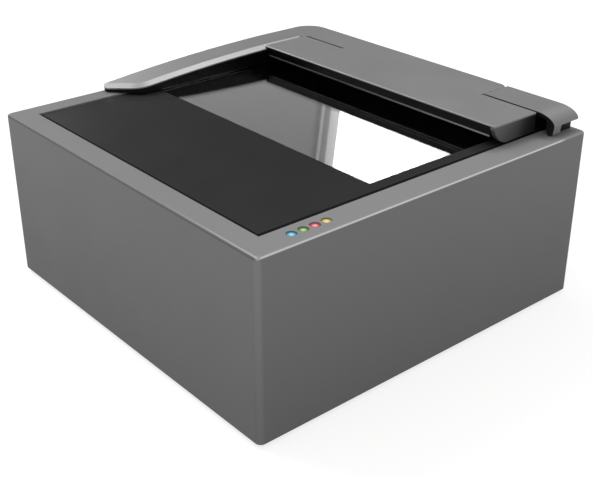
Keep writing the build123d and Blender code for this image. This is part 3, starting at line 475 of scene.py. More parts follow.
def foot_rubber():
    """Moulded silicone rubber: dull black with dust-grey bloom in slow patches."""
    return moulded(
        "Moulded rubber",
        linear("151515"),
        rough=(0.72, 0.86),
        grain_size=0.8 * MM,
        depth=0.02 * MM,
        spread=0.18,
        specular=0.3,
    )


def box_plastic():
    """Black ABS with a light-absorbing matt texture: it keeps stray light out of the pictures."""
    return moulded(
        "Matt black ABS",
        linear("0d0d0e"),
        rough=(0.8, 0.92),
        grain_size=0.8 * MM,
        depth=0.03 * MM,
        spread=0.12,
        specular=0.2,
    )


def closed_cell_foam():
    """Closed-cell polyurethane foam: black, with a skin of small burst bubbles about 0.7 mm across."""
    made, tree = new_material("Closed-cell foam")
    place = add(tree, "ShaderNodeTexCoord").outputs["Object"]
    cells = {"Vector": place, "Scale": 1 / (0.7 * MM)}
    bubbles = add(tree, "ShaderNodeTexVoronoi", cells).outputs["Distance"]
    relief = add(tree, "ShaderNodeBump", {"Height": bubbles, "Distance": 0.15 * MM})
    look = {
        "Base Color": mixed(tree, bubbles, shade("0b0b0b"), shade("222223"), 0.1, 0.6),
        "Roughness": 0.9,
        "Specular IOR Level": 0.2,
        "Normal": relief,
    }
    return finished(made, look)


def zinc_plated_steel():
    """Zinc-plated steel, bright chromated: cool silver with a faint spangle, about 1.4 mm across."""
    made, tree = new_material("Zinc-plated steel")
    place = add(tree, "ShaderNodeTexCoord").outputs["Object"]
    cells = {"Vector": place, "Scale": 1 / (1.4 * MM)}
    spangle = add(tree, "ShaderNodeTexVoronoi", cells).outputs["Color"]
    grey = add(tree, "ShaderNodeSeparateColor", {"Color": spangle}).outputs["Red"]
    dull = add(tree, "ShaderNodeMapRange", {"Value": grey, "To Min": 0.22, "To Max": 0.38})
    relief = add(tree, "ShaderNodeBump", {"Height": grain(tree, 0.3 * MM), "Distance": 0.01 * MM})
    look = {
        "Base Color": mixed(tree, grey, shade("b9bcc0"), shade("d3d6d9")),
        "Metallic": 1.0,
        "Roughness": dull,
        "Normal": relief,
    }
    return finished(made, look)


def nickel_plated_shell():
    """Nickel-plated steel shell, warm silver and finely rubbed, round a tongue of ivory nylon."""
    made = moulded(
        "Nickel-plated shell",
        linear("d6d6cf"),
        rough=(0.26, 0.36),
        grain_size=0.3 * MM,
        depth=0.004 * MM,
        patch=3 * MM,
        spread=0.03,
    )
    tree = made.node_tree
    low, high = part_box("usb_socket")
    middle = (low + high) / 2
    tongue = overlap(tree, near(tree, "X", middle.x, 3.1 * MM), near(tree, "Z", middle.z, 1.8 * MM))
    shell = add(tree, "ShaderNodeMath", {0: 1.0, 1: tongue}, operation="SUBTRACT").outputs[0]
    plate_with_nickel(made, shell)
    return made


def moulded_epoxy(name="Moulded epoxy"):
    """Transfer-moulded epoxy of chips and sockets: charcoal black with a dull satin skin."""
    return moulded(
        name,
        linear("1c1c1d"),
        rough=(0.45, 0.6),
        grain_size=0.4 * MM,
        depth=0.01 * MM,
        patch=4 * MM,
        spread=0.15,
    )


def power_socket_epoxy():
    """The sockets' epoxy, with a nickel-plated centre pin of 2 mm, half a millimetre above the middle."""
    made = moulded_epoxy("Moulded epoxy, plated pin")
    tree = made.node_tree
    low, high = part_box("power_socket")
    middle = (low + high) / 2
    sideways = near(tree, "X", middle.x, 1.1 * MM)
    plate_with_nickel(made, overlap(tree, sideways, near(tree, "Z", middle.z + 0.5 * MM, 1.1 * MM)))
    return made


def turned_brass():
    """Free-cutting brass, turned: warm yellow with the tool's rings up the pillar."""
    made, tree = new_material("Turned brass")
    place = add(tree, "ShaderNodeTexCoord").outputs["Object"]
    # Real rings are about 0.25 mm apart. This scale draws them half a millimetre apart, so that they show.
    wave = {"Vector": place, "Scale": 1 / (math.tau * 0.25 * MM), "Distortion": 0.3}
    rings = add(tree, "ShaderNodeTexWave", wave, bands_direction="Z").outputs["Fac"]
    relief = add(tree, "ShaderNodeBump", {"Height": rings, "Distance": 0.02 * MM})
    look = {
        "Base Color": mixed(tree, grain(tree, 4 * MM), shade("b8944c"), shade("d9b86a")),
        "Metallic": 1.0,
        "Roughness": 0.3,
        "Normal": relief,
    }
    return finished(made, look)


def window_glass():
    """Hardened float glass with a hard coating: a clean mirror at low angles and clear from above."""
    made, tree = new_material("Coated float glass")
    # Wiping leaves a film too thin to see but for its slow change of tint.
    film = mixed(tree, grain(tree, 20 * MM, 4.0), shade("f3f5f4"), shade("fafbfb"))
    return finished(made, {"Base Color": film, "Transmission Weight": 1.0, "Roughness": 0.0, "IOR": 1.52})


def camera_glass():
    """Multi-coated lens: a deep blue-violet bloom over a dark barrel."""
    made, tree = new_material("Coated optical glass")
    facing = add(tree, "ShaderNodeLayerWeight", {"Blend": 0.35}).outputs["Facing"]
    look = {
        "Base Color": mixed(tree, facing, shade("080a14"), shade("2a2050")),
        "Roughness": 0.03,
        "Coat Weight": 1.0,
        "Coat Roughness": 0.02,
        "Thin Film Thickness": 320.0,
        "Thin Film IOR": 1.38,
    }
    return finished(made, look)


def opal_acrylic():
    """Opal acrylic sheet: white, milky through its thickness, with a soft gloss."""
    made, tree = new_material("Opal acrylic")
    look = {
        "Base Color": mixed(tree, grain(tree, 6 * MM, 3.0), shade("e2e4e4"), shade("f3f4f3")),
        "Roughness": 0.32,
        "Subsurface Weight": 0.6,
        "Subsurface Scale": 2 * MM,
    }
    return finished(made, look)


def circuit_board(colours):
    """Glass-epoxy board under green solder mask: copper shows as paler tracks, and vias as small dots."""
    made, tree = new_material("Solder-masked circuit board")
    place = add(tree, "ShaderNodeTexCoord").outputs["Object"]
    # Tracks are 0.25 mm wide at 1.27 mm pitch on a real board, and are drawn at twice that.
    cells = {"Vector": place, "Scale": 1 / (2.6 * MM), "Randomness": 0.75}
    borders = add(tree, "ShaderNodeTexVoronoi", cells, feature="DISTANCE_TO_EDGE").outputs["Distance"]
    width = {"Value": borders, "From Min": 0.07, "From Max": 0.1, "To Min": 1.0, "To Max": 0.0}
    tracks = add(tree, "ShaderNodeMapRange", width).outputs["Result"]
    masked = mixed(tree, tracks, rgba(colours.board), rgba(colours.board, 2.0))
    dots = {"Vector": place, "Scale": 1 / (3.1 * MM)}
    vias = add(tree, "ShaderNodeTexVoronoi", dots).outputs["Distance"]
    relief = add(tree, "ShaderNodeBump", {"Height": tracks, "Distance": 0.04 * MM})
    look = {
        "Base Color": mixed(tree, vias, shade("c9b878"), masked, 0.1, 0.14),
        "Roughness": 0.28,
        "Coat Weight": 0.3,
        "Coat Roughness": 0.1,
        "Normal": relief,
    }
    return finished(made, look)


def ribbon_film():
    """Flat flexible cable: white polyester film over tinned conductors, seen as fine stripes."""
    made, tree = new_material("Polyester ribbon")
    place = add(tree, "ShaderNodeTexCoord").outputs["Object"]
    # The real pitch is 0.5 mm. This scale draws the stripes 2 mm apart, so that they show.
    wave = {"Vector": place, "Scale": 1 / (math.tau * 1 * MM)}
    stripes = add(tree, "ShaderNodeTexWave", wave, bands_direction="X").outputs["Fac"]
    relief = add(tree, "ShaderNodeBump", {"Height": stripes, "Distance": 0.05 * MM})
    look = {
        "Base Color": mixed(tree, stripes, shade("e4e4e0"), shade("b4b5b4"), 0.5, 0.7),
        "Roughness": 0.3,
        "Coat Weight": 0.4,
        "Coat Roughness": 0.08,
        "Normal": relief,
    }
    return finished(made, look)


def tinted_lens(name, rgb, middle):
    """Tinted acrylic light pipe: the lamp under it glows through the middle and fades towards the rim, and
    its body colour is painted darker towards the rim as shade.
    """
    made, tree = new_material(name)
    place = add(tree, "ShaderNodeTexCoord").outputs["Object"]
    centred = add(tree, "ShaderNodeMapping", {"Vector": place, "Location": -middle})
    radius = add(tree, "ShaderNodeVectorMath", {0: centred}, operation="LENGTH").outputs["Value"]
    fading = (0.6 * MM, 1.8 * MM)
    bright = {"Value": radius, "From Min": 0.2 * MM, "From Max": 1.1 * MM, "To Min": 0.6, "To Max": 0.0}
    core = add(tree, "ShaderNodeMapRange", bright).outputs["Result"]
    glow = mixed(tree, radius, rgba(rgb), rgba(rgb, 0.45), *fading)
    look = {
        "Base Color": mixed(tree, radius, rgba(rgb, 0.7), rgba(rgb, 0.3), *fading),
        "Roughness": 0.22,
        "Specular IOR Level": 0.6,
        "Emission Color": mixed(tree, core, glow, WHITE),
        "Emission Strength": 0.75,
    }
    return finished(made, look)


# Screws


def islands(name):
    """The separate solids of a CAD node in the order of its mesh, each as the list of its points."""
    shape = bmesh.new()
    shape.from_mesh(nodes[name].data)
    bmesh.ops.remove_doubles(shape, verts=shape.verts, dist=0.001 * MM)
    found, seen = [], set()
    for start in shape.verts:
        if start in seen:
            continue
        seen.add(start)
        group, reach = [], [start]
        while reach:
            vertex = reach.pop()
            group.append(vertex.co.copy())
            for edge in vertex.link_edges:
                other = edge.other_vert(vertex)
                if other not in seen:
                    seen.add(other)
                    reach.append(other)
        found.append(group)
    shape.free()
    return found


def screw_measure(points, head_way):
    """Where a screw's head ends, how long the screw is, and the sizes of its head and shank.

    head_way points from the tip to the head.
    """
    heights = [point.dot(head_way) for point in points]
    top, tip = max(heights), min(heights)
    middle = sum(points, Vector()) / len(points)
    centre = middle - head_way * middle.dot(head_way)
    sides = [(height, (point - head_way * height - centre).length) for height, point in zip(heights, points)]
    # The head is the widest part, and the shank is measured at the tip.
    head_radius = max(side for _, side in sides)
    shank_radius = max(side for height, side in sides if height < tip + 0.01 * MM)
    head_under = min(height for height, side in sides if side > head_radius - 0.1 * MM)
    return centre + head_way * top, top - tip, top - head_under, head_radius, shank_radius


# How far a head draws in towards its top, the rows of faces up its side, and those for a turn of the thread.
HEAD_DRAWN_IN = 0.24
HEAD_ROWS = 5
ROWS_PER_TURN = 6.0
SOCKET_KINDS = {float: "NodeSocketFloat", int: "NodeSocketInt", tuple: "NodeSocketVector"}


def screw_tree(material):
    """Geometry Nodes: a pan-head screw with a cross recess and a thread, set on every point of a mesh."""
    tree = bpy.data.node_groups.new("Cross-recess screw", "GeometryNodeTree")
    tree.interface.new_socket(name="Geometry", in_out="INPUT", socket_type="NodeSocketGeometry")
    for name, default in (
        ("Head radius", 2 * MM),
        ("Head height", 1.2 * MM),
        ("Shank radius", 1.25 * MM),
        ("Shank length", 6 * MM),
        ("Recess width", 0.75 * MM),
        ("Recess length", 2.5 * MM),
        ("Recess depth", 0.9 * MM),
        ("Thread pitch", 1 * MM),
        ("Thread depth", 0.2 * MM),
        ("Sides", 24),
        ("Turn", (0.0, 0.0, 0.0)),
    ):
        kind = SOCKET_KINDS[type(default)]
        tree.interface.new_socket(name=name, in_out="INPUT", socket_type=kind).default_value = default
    tree.interface.new_socket(name="Geometry", in_out="OUTPUT", socket_type="NodeSocketGeometry")
    given = add(tree, "NodeGroupInput").outputs

    position = add(tree, "GeometryNodeInputPosition")
    parts = add(tree, "ShaderNodeSeparateXYZ", {0: position}).outputs

    # The head's side curves in towards its flat top, the more so the nearer it comes.
    head_stock = {
        "Side Segments": HEAD_ROWS,
        "Vertices": given["Sides"],
        "Radius": given["Head radius"],
        "Depth": given["Head height"],
    }
    head = add(tree, "GeometryNodeMeshCylinder", head_stock)
    up = add(tree, "ShaderNodeMath", {0: parts["Z"], 1: given["Head height"]}, operation="DIVIDE")
    share = add(tree, "ShaderNodeMath", {0: up, 1: 0.5}, operation="ADD")
    curve = add(tree, "ShaderNodeMath", {0: share, 1: 3.0}, operation="POWER")
    line = {0: curve, 1: -HEAD_DRAWN_IN, 2: 1.0}
    drawn_in = add(tree, "ShaderNodeMath", line, operation="MULTIPLY_ADD")
    flat_scale = add(tree, "ShaderNodeCombineXYZ", {"X": drawn_in, "Y": drawn_in, "Z": 1.0})
    shaped = add(tree, "ShaderNodeVectorMath", {0: position, 1: flat_scale}, operation="MULTIPLY")
    head = add(tree, "GeometryNodeSetPosition", {"Geometry": head, "Position": shaped})
    down = {0: (0.0, 0.0, -0.5), "Scale": given["Head height"]}
    head_place = add(tree, "ShaderNodeVectorMath", down, operation="SCALE")
    head = add(tree, "GeometryNodeTransform", {"Geometry": head, "Translation": head_place})

    # Two crossed slots are cut out of the head.
    depth = add(tree, "ShaderNodeMath", {0: given["Recess depth"], 1: 2.0}, operation="MULTIPLY")
    cut = add(tree, "GeometryNodeMeshBoolean", {0: head}, operation="DIFFERENCE")
    for x, y in (("Recess length", "Recess width"), ("Recess width", "Recess length")):
        size = add(tree, "ShaderNodeCombineXYZ", {"X": given[x], "Y": given[y], "Z": depth})
        slot = add(tree, "GeometryNodeMeshCube", {"Size": size}).outputs["Mesh"]
        tree.links.new(slot, cut.inputs[1])

    # The thread is the shank's skin, in and out with its height and its turn round the axis.
    length_and_pitch = {0: given["Shank length"], 1: given["Thread pitch"]}
    turns = add(tree, "ShaderNodeMath", length_and_pitch, operation="DIVIDE")
    fine_rows = add(tree, "ShaderNodeMath", {0: turns, 1: ROWS_PER_TURN}, operation="MULTIPLY")
    shank_stock = {
        "Vertices": given["Sides"],
        "Side Segments": add(tree, "FunctionNodeFloatToInt", {0: fine_rows}),
        "Radius": given["Shank radius"],
        "Depth": given["Shank length"],
    }
    shank = add(tree, "GeometryNodeMeshCylinder", shank_stock)
    angle = add(tree, "ShaderNodeMath", {0: parts["Y"], 1: parts["X"]}, operation="ARCTAN2")
    turned_by = add(tree, "ShaderNodeMath", {0: angle, 1: math.tau}, operation="DIVIDE")
    rise = add(tree, "ShaderNodeMath", {0: parts["Z"], 1: given["Thread pitch"]}, operation="DIVIDE")
    climb = add(tree, "ShaderNodeMath", {0: rise, 1: turned_by}, operation="SUBTRACT")
    half_turns = add(tree, "ShaderNodeMath", {0: climb, 1: 2.0}, operation="MULTIPLY")
    ridge = add(tree, "ShaderNodeMath", {0: half_turns, 1: 1.0}, operation="PINGPONG")
    depth_and_radius = {0: given["Thread depth"], 1: given["Shank radius"]}
    relative = add(tree, "ShaderNodeMath", depth_and_radius, operation="DIVIDE")
    inwards = add(tree, "ShaderNodeMath", {0: ridge, 1: relative}, operation="MULTIPLY")
    narrowed = add(tree, "ShaderNodeMath", {0: 1.0, 1: inwards}, operation="SUBTRACT")
    around = add(tree, "ShaderNodeCombineXYZ", {"X": narrowed, "Y": narrowed, "Z": 1.0})
    threaded = add(tree, "ShaderNodeVectorMath", {0: position, 1: around}, operation="MULTIPLY")
    shank = add(tree, "GeometryNodeSetPosition", {"Geometry": shank, "Position": threaded})
    half_down = {0: given["Shank length"], 1: -0.5}
    half_shank = add(tree, "ShaderNodeMath", half_down, operation="MULTIPLY")
    under_head = {0: half_shank, 1: given["Head height"]}
    shank_middle = add(tree, "ShaderNodeMath", under_head, operation="SUBTRACT")
    shank_place = add(tree, "ShaderNodeCombineXYZ", {"Z": shank_middle})
    shank = add(tree, "GeometryNodeTransform", {"Geometry": shank, "Translation": shank_place})

    whole = add(tree, "GeometryNodeJoinGeometry", {0: shank})
    tree.links.new(cut.outputs["Mesh"], whole.inputs[0])
    turned = add(tree, "FunctionNodeEulerToRotation", {0: given["Turn"]})
    copies = {"Points": given["Geometry"], "Instance": whole, "Rotation": turned}
    spread = add(tree, "GeometryNodeInstanceOnPoints", copies)
    solid = add(tree, "GeometryNodeRealizeInstances", {"Geometry": spread})
    coloured = add(tree, "GeometryNodeSetMaterial", {"Geometry": solid, "Material": material})
    add(tree, "NodeGroupOutput", {"Geometry": coloured})
    return tree


def from_points(name, points, tree, inputs):
    """Run a Geometry Nodes tree on a cloud of points and keep its result as a plain mesh at the origin."""
    cloud = bpy.data.meshes.new(name)
    cloud.from_pydata([tuple(point) for point in points], [], [])
    piece = bpy.data.objects.new(name, cloud)
    bpy.context.scene.collection.objects.link(piece)
    modifier = piece.modifiers.new("Nodes", "NODES")
    modifier.node_group = tree
    sockets = {
        item.name: item.identifier
        for item in tree.interface.items_tree
        if item.item_type == "SOCKET" and item.in_out == "INPUT"
    }
    for label, value in inputs.items():
        modifier[sockets[label]] = value
    graph = bpy.context.evaluated_depsgraph_get()
    graph.update()
    mesh = bpy.data.meshes.new_from_object(piece.evaluated_get(graph))
    mesh.name = name
    piece.modifiers.remove(modifier)
    piece.data = mesh
    bpy.data.meshes.remove(cloud)
    if not mesh.polygons:
        raise RuntimeError(f"{name}: the node tree made no faces")
    return piece


# Each node of plain screws, with its body and the way from a screw's tip to its head.
SCREW_SETS = {
    "base_screws": ("housing", (0, 0, -1)),
    "board_screws": ("housing", (0, 0, 1)),
    "connector_panel_screws": ("housing", (0, 1, 0)),
    "hinge_screws": ("housing", (0, 0, -1)),
    "hood_screws": ("hood", (0, 0, -1)),
}
# How a screw is turned to have its head that way.
HEAD_TURNS = {
    (0, 0, 1): (0.0, 0.0, 0.0),
    (0, 0, -1): (math.pi, 0.0, 0.0),
    (0, 1, 0): (-math.pi / 2, 0.0, 0.0),
}


def make_screws(sizes, tree):
    """Stand threaded screws in for the plain ones of the CAD model, with a piece for each size in a node."""
    for name, (body, way) in SCREW_SETS.items():
        tops = {}
        for points in islands(name):
            top, *measures = screw_measure(points, Vector(way))
            tops.setdefault(tuple(round(value, 5) for value in measures), []).append(top)
        for number, kind in enumerate(sorted(tops), start=1):
            total, head_height, head_radius, shank_radius = kind
            inputs = {
                "Head radius": head_radius,
                "Head height": head_height,
                "Shank radius": shank_radius,
                "Shank length": total - head_height,
                "Recess width": sizes.recess_width,
                "Recess length": sizes.recess_length,
                "Recess depth": min(sizes.recess_depth, 0.8 * head_height),
                "Thread pitch": sizes.thread_pitch,
                "Thread depth": sizes.thread_depth,
                "Sides": sizes.screw_sides,
                "Turn": HEAD_TURNS[way],
            }
            label = f"{name}_{number}" if len(tops) > 1 else f"{name}_threaded"
            piece = from_points(label, tops[kind], tree, inputs)
            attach(piece, body)
            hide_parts(name)


# Studio

# Each lamp's name, its place, the height over the middle that it faces, its width and its setting. Those that
# name nodes only draw the gloss of these.
LAMPS = (
    ("Key softbox", (-0.755, -0.275, 0.96), 0.07, 0.55, "key", ()),
    ("Fill softbox", (0.94, -0.10, 0.36), 0.04, 0.6, "fill", ()),
    ("Rim softbox", (-0.30, 0.42, 0.92), 0.07, 0.45, "rim", ("hood_cover", "hinge_cover", "housing_shell")),
    ("Nose softbox", (-0.80, 0.05, 0.67), 0.07, 0.3, "nose", ("hood_cover",)),
    ("Edge softbox", (0.41, 0.69, 0.67), 0.07, 0.3, "edge", ("housing_shell",)),
)
# The floor's half width, the corners it is spread to, its colour, and the glow that makes it white where
# nothing shades it.
FLOOR_REACH = 6.0
SQUARE = ((-1, -1), (1, -1), (1, 1), (-1, 1))
FLOOR_COLOUR = "a8a8a7"
FLOOR_GLOW = 0.74
CAMERA_PLACE = Vector((0.29383, -0.24551, 0.21536))
CAMERA_YAW = math.radians(139.750)
CAMERA_PITCH = math.radians(-27.098)
# The focal length in widths of the picture, which is 593 px wide, and the film's width in millimetres.
CAMERA_FOCUS = 1050 / 593
FILM_WIDTH = 36.0
# The reflector stands upright behind the scanner, square to the camera's heading. Its white part's edge goes
# through two places, each so far across and so high, and leans a little.
REFLECTOR_AWAY = 1.2
REFLECTOR_EDGE = ((0.064, 0.608), (0.076, 0.494))
REFLECTOR_CORNERS = ((-0.5, 0.15), (0.6, 0.15), (0.6, 1.1), (-0.5, 1.1))
# How bright the reflector is, by the distance across from that edge: a grey wall, then the card's folded edge
# in three strips. The white card starts at REFLECTOR_WHITE.
REFLECTOR_LEVELS = (
    (-0.060, 0.74),
    (-0.044, 0.74),
    (-0.037, 0.56),
    (-0.033, 0.62),
    (-0.031, 1.20),
    (-0.028, 1.15),
    (-0.026, 0.72),
    (-0.019, 0.86),
    (-0.016, 1.70),
    (-0.004, 2.10),
)
REFLECTOR_WHITE = -0.002


def flat_mesh(name, corners):
    """A single face through the given corners."""
    mesh = bpy.data.meshes.new(name)
    mesh.from_pydata(corners, [], [tuple(range(len(corners)))])
    piece = bpy.data.objects.new(name, mesh)
    bpy.context.scene.collection.objects.link(piece)
    return piece


def backdrop_ray(tree):
    """One for a ray from the camera, a mirror or glass, and nought for one that only lights the object."""
    path = add(tree, "ShaderNodeLightPath").outputs
    seen = path["Is Camera Ray"]
    for kind in ("Is Glossy Ray", "Is Transmission Ray"):
        seen = add(tree, "ShaderNodeMath", {0: seen, 1: path[kind]}, operation="MAXIMUM").outputs[0]
    return seen


def make_floor():
    """A pale floor that turns white where nothing shades it, and keeps the object's soft shadow."""
    floor = flat_mesh("Floor", [(x * FLOOR_REACH, y * FLOOR_REACH, 0) for x, y in SQUARE])
    made, tree = new_material("Pale studio floor")
    plain = add(tree, "ShaderNodeBsdfDiffuse", {"Color": shade(FLOOR_COLOUR)})
    glow = add(tree, "ShaderNodeEmission", {"Color": WHITE, "Strength": FLOOR_GLOW})
    both = add(tree, "ShaderNodeAddShader", {0: plain, 1: glow})
    shown = add(tree, "ShaderNodeMixShader", {0: backdrop_ray(tree), 1: plain, 2: both})
    add(tree, "ShaderNodeOutputMaterial", {"Surface": shown})
    floor.data.materials.append(made)


def make_sky(settings):
    """An even sky for the light, and pure white for what the camera, mirrors and glass see."""
    world = bpy.data.worlds.new("Studio")
    bpy.context.scene.world = world
    tree = empty_tree(world)
    light = add(tree, "ShaderNodeBackground", {"Color": WHITE, "Strength": settings.sky})
    white = add(tree, "ShaderNodeBackground", {"Color": WHITE, "Strength": 1.0})
    shown = add(tree, "ShaderNodeMixShader", {0: backdrop_ray(tree), 1: light, 2: white})
    add(tree, "ShaderNodeOutputWorld", {"Surface": shown})


def light_only(lamp, name, names):
    """Let a lamp or a glowing card light only the named CAD nodes."""
    lit = bpy.data.collections.new(name)
    for node in names:
        lit.objects.link(nodes[node])
    lamp.light_linking.receiver_collection = lit


def make_lamp(name, place, height, width, watts):
    """A square soft lamp that faces a point at the given height over the middle."""
    lamp = bpy.data.lights.new(name, "AREA")
    lamp.shape = "SQUARE"
    lamp.size = width
    lamp.energy = watts
    holder = bpy.data.objects.new(name, lamp)
    holder.location = place
    holder.rotation_euler = (Vector((0, 0, height)) - Vector(place)).to_track_quat("-Z", "Y").to_euler()
    bpy.context.scene.collection.objects.link(holder)
    return holder


def reflector_card():
    """The reflector's flat sheet. Its map holds each point's distance across from the white part's edge."""
    heading = Vector((math.cos(CAMERA_YAW), math.sin(CAMERA_YAW), 0))
    across = Vector((heading.y, -heading.x, 0))
    (low_across, low_z), (high_across, high_z) = REFLECTOR_EDGE
    lean = (high_across - low_across) / (high_z - low_z)
    places = []
    for sideways, z in REFLECTOR_CORNERS:
        edge = low_across + lean * (z - low_z)
        places.append(heading * REFLECTOR_AWAY + across * (edge + sideways) + Vector((0, 0, z)))
    card = flat_mesh("Reflector card", places)
    chart = card.data.uv_layers.new(name="Card")
    for corner, place in zip(chart.data, REFLECTOR_CORNERS):
        corner.uv = place
    return card


def reflector_glow(white):
    """The light of the reflector: a grey wall, the card's folded edge in three strips, and the white card."""
    made, tree = new_material("Reflector card")
    place = add(tree, "ShaderNodeUVMap", uv_map="Card").outputs["UV"]
    sideways = add(tree, "ShaderNodeSeparateXYZ", {0: place}).outputs["X"]
    levels = (*REFLECTOR_LEVELS, (REFLECTOR_WHITE, white))
    start, end = levels[0][0], levels[-1][0]
    peak = max(brightness for _, brightness in levels)
    share = add(tree, "ShaderNodeMapRange", {"Value": sideways, "From Min": start, "From Max": end})
    strips = add(tree, "ShaderNodeFloatCurve", {"Value": share})
    curve = strips.mapping.curves[0]
    spots = [((distance - start) / (end - start), brightness / peak) for distance, brightness in levels]
    curve.points[0].location, curve.points[-1].location = spots[0], spots[-1]
    for spot in spots[1:-1]:
        curve.points.new(*spot)
    for point in curve.points:
        point.handle_type = "VECTOR"
    strips.mapping.update()
    full = add(tree, "ShaderNodeMath", {0: strips, 1: peak}, operation="MULTIPLY")
    glow = add(tree, "ShaderNodeEmission", {"Color": WHITE, "Strength": full})
    add(tree, "ShaderNodeOutputMaterial", {"Surface": glow})
    return made


def make_reflector(settings):
    """A white card beside a grey wall, seen only as a mirror image in the window."""
    card = reflector_card()
    card.data.materials.append(reflector_glow(settings.card))
    card.visible_camera = False
    card.visible_diffuse = False
    card.visible_shadow = False
    light_only(card, "Reflector card", ("window_glass",))


def make_camera():
    """The photograph's view: from the front right, looking down on the deck."""
    data = bpy.data.cameras.new("Camera")
    data.sensor_width = FILM_WIDTH
    data.lens = FILM_WIDTH * CAMERA_FOCUS
    data.clip_start, data.clip_end = 0.01, 50.0
    camera = bpy.data.objects.new("Camera", data)
    flat = math.cos(CAMERA_PITCH)
    way = Vector((flat * math.cos(CAMERA_YAW), flat * math.sin(CAMERA_YAW), math.sin(CAMERA_PITCH)))
    camera.location = CAMERA_PLACE
    camera.rotation_euler = way.to_track_quat("-Z", "Y").to_euler()
    bpy.context.scene.collection.objects.link(camera)
    bpy.context.scene.camera = camera


def make_studio(settings):
    """Floor, sky, lamps, reflector and camera."""
    make_floor()
    make_sky(settings)
    for name, place, height, width, setting, gloss_of in LAMPS:
        lamp = make_lamp(name, place, height, width, getattr(settings, setting))
        if gloss_of:
            lamp.visible_diffuse = False
            light_only(lamp, name, gloss_of)
    make_reflector(settings)
    make_camera()
    bpy.context.scene.view_settings.view_transform = "Standard"


# Operators


class SCANNER_OT_housing(bpy.types.Operator):
    """Finish the housing, its base plate and its feet"""

    bl_idname = "scanner.housing"
    bl_label = "Housing"

    def execute(self, context):
        colours, sizes = context.scene.scanner_colours, context.scene.scanner_sizes
        dress(housing_plastic(colours, sizes), "housing_grey", "housing_shell")
        dress(base_coat(colours), "base_dark", "base_plate")
        dress(foot_rubber(), "rubber_black", "rubber_feet")
        return {"FINISHED"}


class SCANNER_OT_deck(bpy.types.Operator):
    """Finish the cover plate, the window and the seal under it"""

    bl_idname = "scanner.deck"
    bl_label = "Deck and window"

    def execute(self, context):
        colours = context.scene.scanner_colours
        dress(plate_plastic(colours), "plate_black", "cover_plate")
        dress(window_glass(), "window_glass", "window_glass")
        dress(closed_cell_foam(), "foam_black", "glass_gasket", "antenna_spacer", "document_pad")
        return {"FINISHED"}


class SCANNER_OT_hood(bpy.types.Operator):
    """Finish the hood, its liner and the hinge"""

    bl_idname = "scanner.hood"
    bl_label = "Hood and hinge"

    def execute(self, context):
        colours, sizes = context.scene.scanner_colours, context.scene.scanner_sizes
        dress(hood_cover_plastic(colours, sizes), "hood_grey", "hood_cover")
        dress(hinge_cover_plastic(colours, sizes), "hood_grey", "hinge_cover")
        dress(lip_highlight_liner_plastic(colours), "liner_black", "hood_liner")
        dress(
            liner_plastic(colours),
            "liner_black",
            "hinge_ear",
            "hinge_block",
            "camera_holder",
            "status_lens_holder",
        )
        dress(foot_rubber(), "rubber_black", "hood_rest_pads")
        dress(zinc_plated_steel(), "steel", "hinge_pin_left", "hinge_pin_right")
        return {"FINISHED"}


class SCANNER_OT_optics(bpy.types.Operator):
    """Finish the light box, its lamps and the camera"""

    bl_idname = "scanner.optics"
    bl_label = "Light box and camera"

    def execute(self, context):
        colours = context.scene.scanner_colours
        dress(box_plastic(), "light_box_black", "light_box")
        dress(camera_glass(), "lens_glass", "camera_lens")
        dress(opal_acrylic(), "diffuser_white", "diffuser_left", "diffuser_right")
        dress(circuit_board(colours), "circuit_board", "camera_board", "led_bar_left", "led_bar_right")
        dress(ribbon_film(), "ribbon_white", "camera_ribbon")
        return {"FINISHED"}


class SCANNER_OT_electronics(bpy.types.Operator):
    """Finish the boards, the chips and the sockets"""

    bl_idname = "scanner.electronics"
    bl_label = "Boards and sockets"

    def execute(self, context):
        colours = context.scene.scanner_colours
        dress(
            circuit_board(colours),
            "circuit_board",
            "main_board",
            "antenna_board",
            "connector_board",
            "status_board",
        )
        dress(moulded_epoxy(), "chip_black", "main_board_chips", "buzzer")
        dress(power_socket_epoxy(), "chip_black", "power_socket")
        dress(turned_brass(), "brass", "board_standoffs")
        dress(nickel_plated_shell(), "steel", "usb_socket")
        dress(panel_plastic(), "panel_black", "connector_panel")
        return {"FINISHED"}


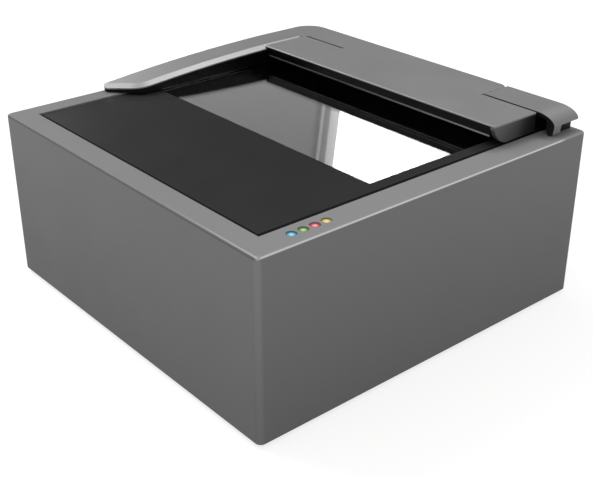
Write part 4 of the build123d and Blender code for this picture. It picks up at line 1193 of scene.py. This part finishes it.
class SCANNER_OT_status_lights(bpy.types.Operator):
    """Finish the four status lights"""

    bl_idname = "scanner.status_lights"
    bl_label = "Status lights"

    def execute(self, context):
        colours = context.scene.scanner_colours
        for tint in ("blue", "green", "red", "yellow"):
            name = f"status_lens_{tint}"
            low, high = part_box(name)
            top = Vector(((low.x + high.x) / 2, (low.y + high.y) / 2, high.z))
            rgb = getattr(colours, f"light_{tint}")
            dress(tinted_lens(f"{tint.title()} acrylic", rgb, top), f"lens_{tint}", name)
        return {"FINISHED"}


class SCANNER_OT_screws(bpy.types.Operator):
    """Stand threaded cross-recess screws in for the plain ones"""

    bl_idname = "scanner.screws"
    bl_label = "Screws"

    def execute(self, context):
        make_screws(context.scene.scanner_sizes, screw_tree(zinc_plated_steel()))
        return {"FINISHED"}


class SCANNER_OT_studio(bpy.types.Operator):
    """Set up the floor, the backdrop, the lamps and the camera"""

    bl_idname = "scanner.studio"
    bl_label = "Studio"

    def execute(self, context):
        make_studio(context.scene.scanner_studio)
        return {"FINISHED"}


class SCANNER_PT_panel(bpy.types.Panel):
    """The scanner's pieces and their settings"""

    bl_idname = "SCANNER_PT_panel"
    bl_label = "Scanner"
    bl_space_type = "VIEW_3D"
    bl_region_type = "UI"
    bl_category = "Scanner"

    def draw(self, context):
        column = self.layout.column()
        for step in STEPS:
            column.operator(step.bl_idname)
        for group in ("scanner_colours", "scanner_sizes", "scanner_studio"):
            settings = getattr(context.scene, group)
            for name in settings.__annotations__:
                column.prop(settings, name)


STEPS = (
    SCANNER_OT_studio,
    SCANNER_OT_housing,
    SCANNER_OT_deck,
    SCANNER_OT_hood,
    SCANNER_OT_optics,
    SCANNER_OT_electronics,
    SCANNER_OT_status_lights,
    SCANNER_OT_screws,
)
SETTINGS = {
    "scanner_colours": ScannerColours,
    "scanner_sizes": ScannerSizes,
    "scanner_studio": StudioSettings,
}


def register():
    for kind in (*SETTINGS.values(), *STEPS, SCANNER_PT_panel):
        bpy.utils.register_class(kind)
    for name, kind in SETTINGS.items():
        setattr(bpy.types.Scene, name, PointerProperty(type=kind))


def unregister():
    for name in SETTINGS:
        delattr(bpy.types.Scene, name)
    for kind in reversed((*SETTINGS.values(), *STEPS, SCANNER_PT_panel)):
        bpy.utils.unregister_class(kind)


def main():
    register()
    for step in STEPS:
        group, call = step.bl_idname.split(".")
        getattr(getattr(bpy.ops, group), call)()


if __name__ == "__main__":
    main()
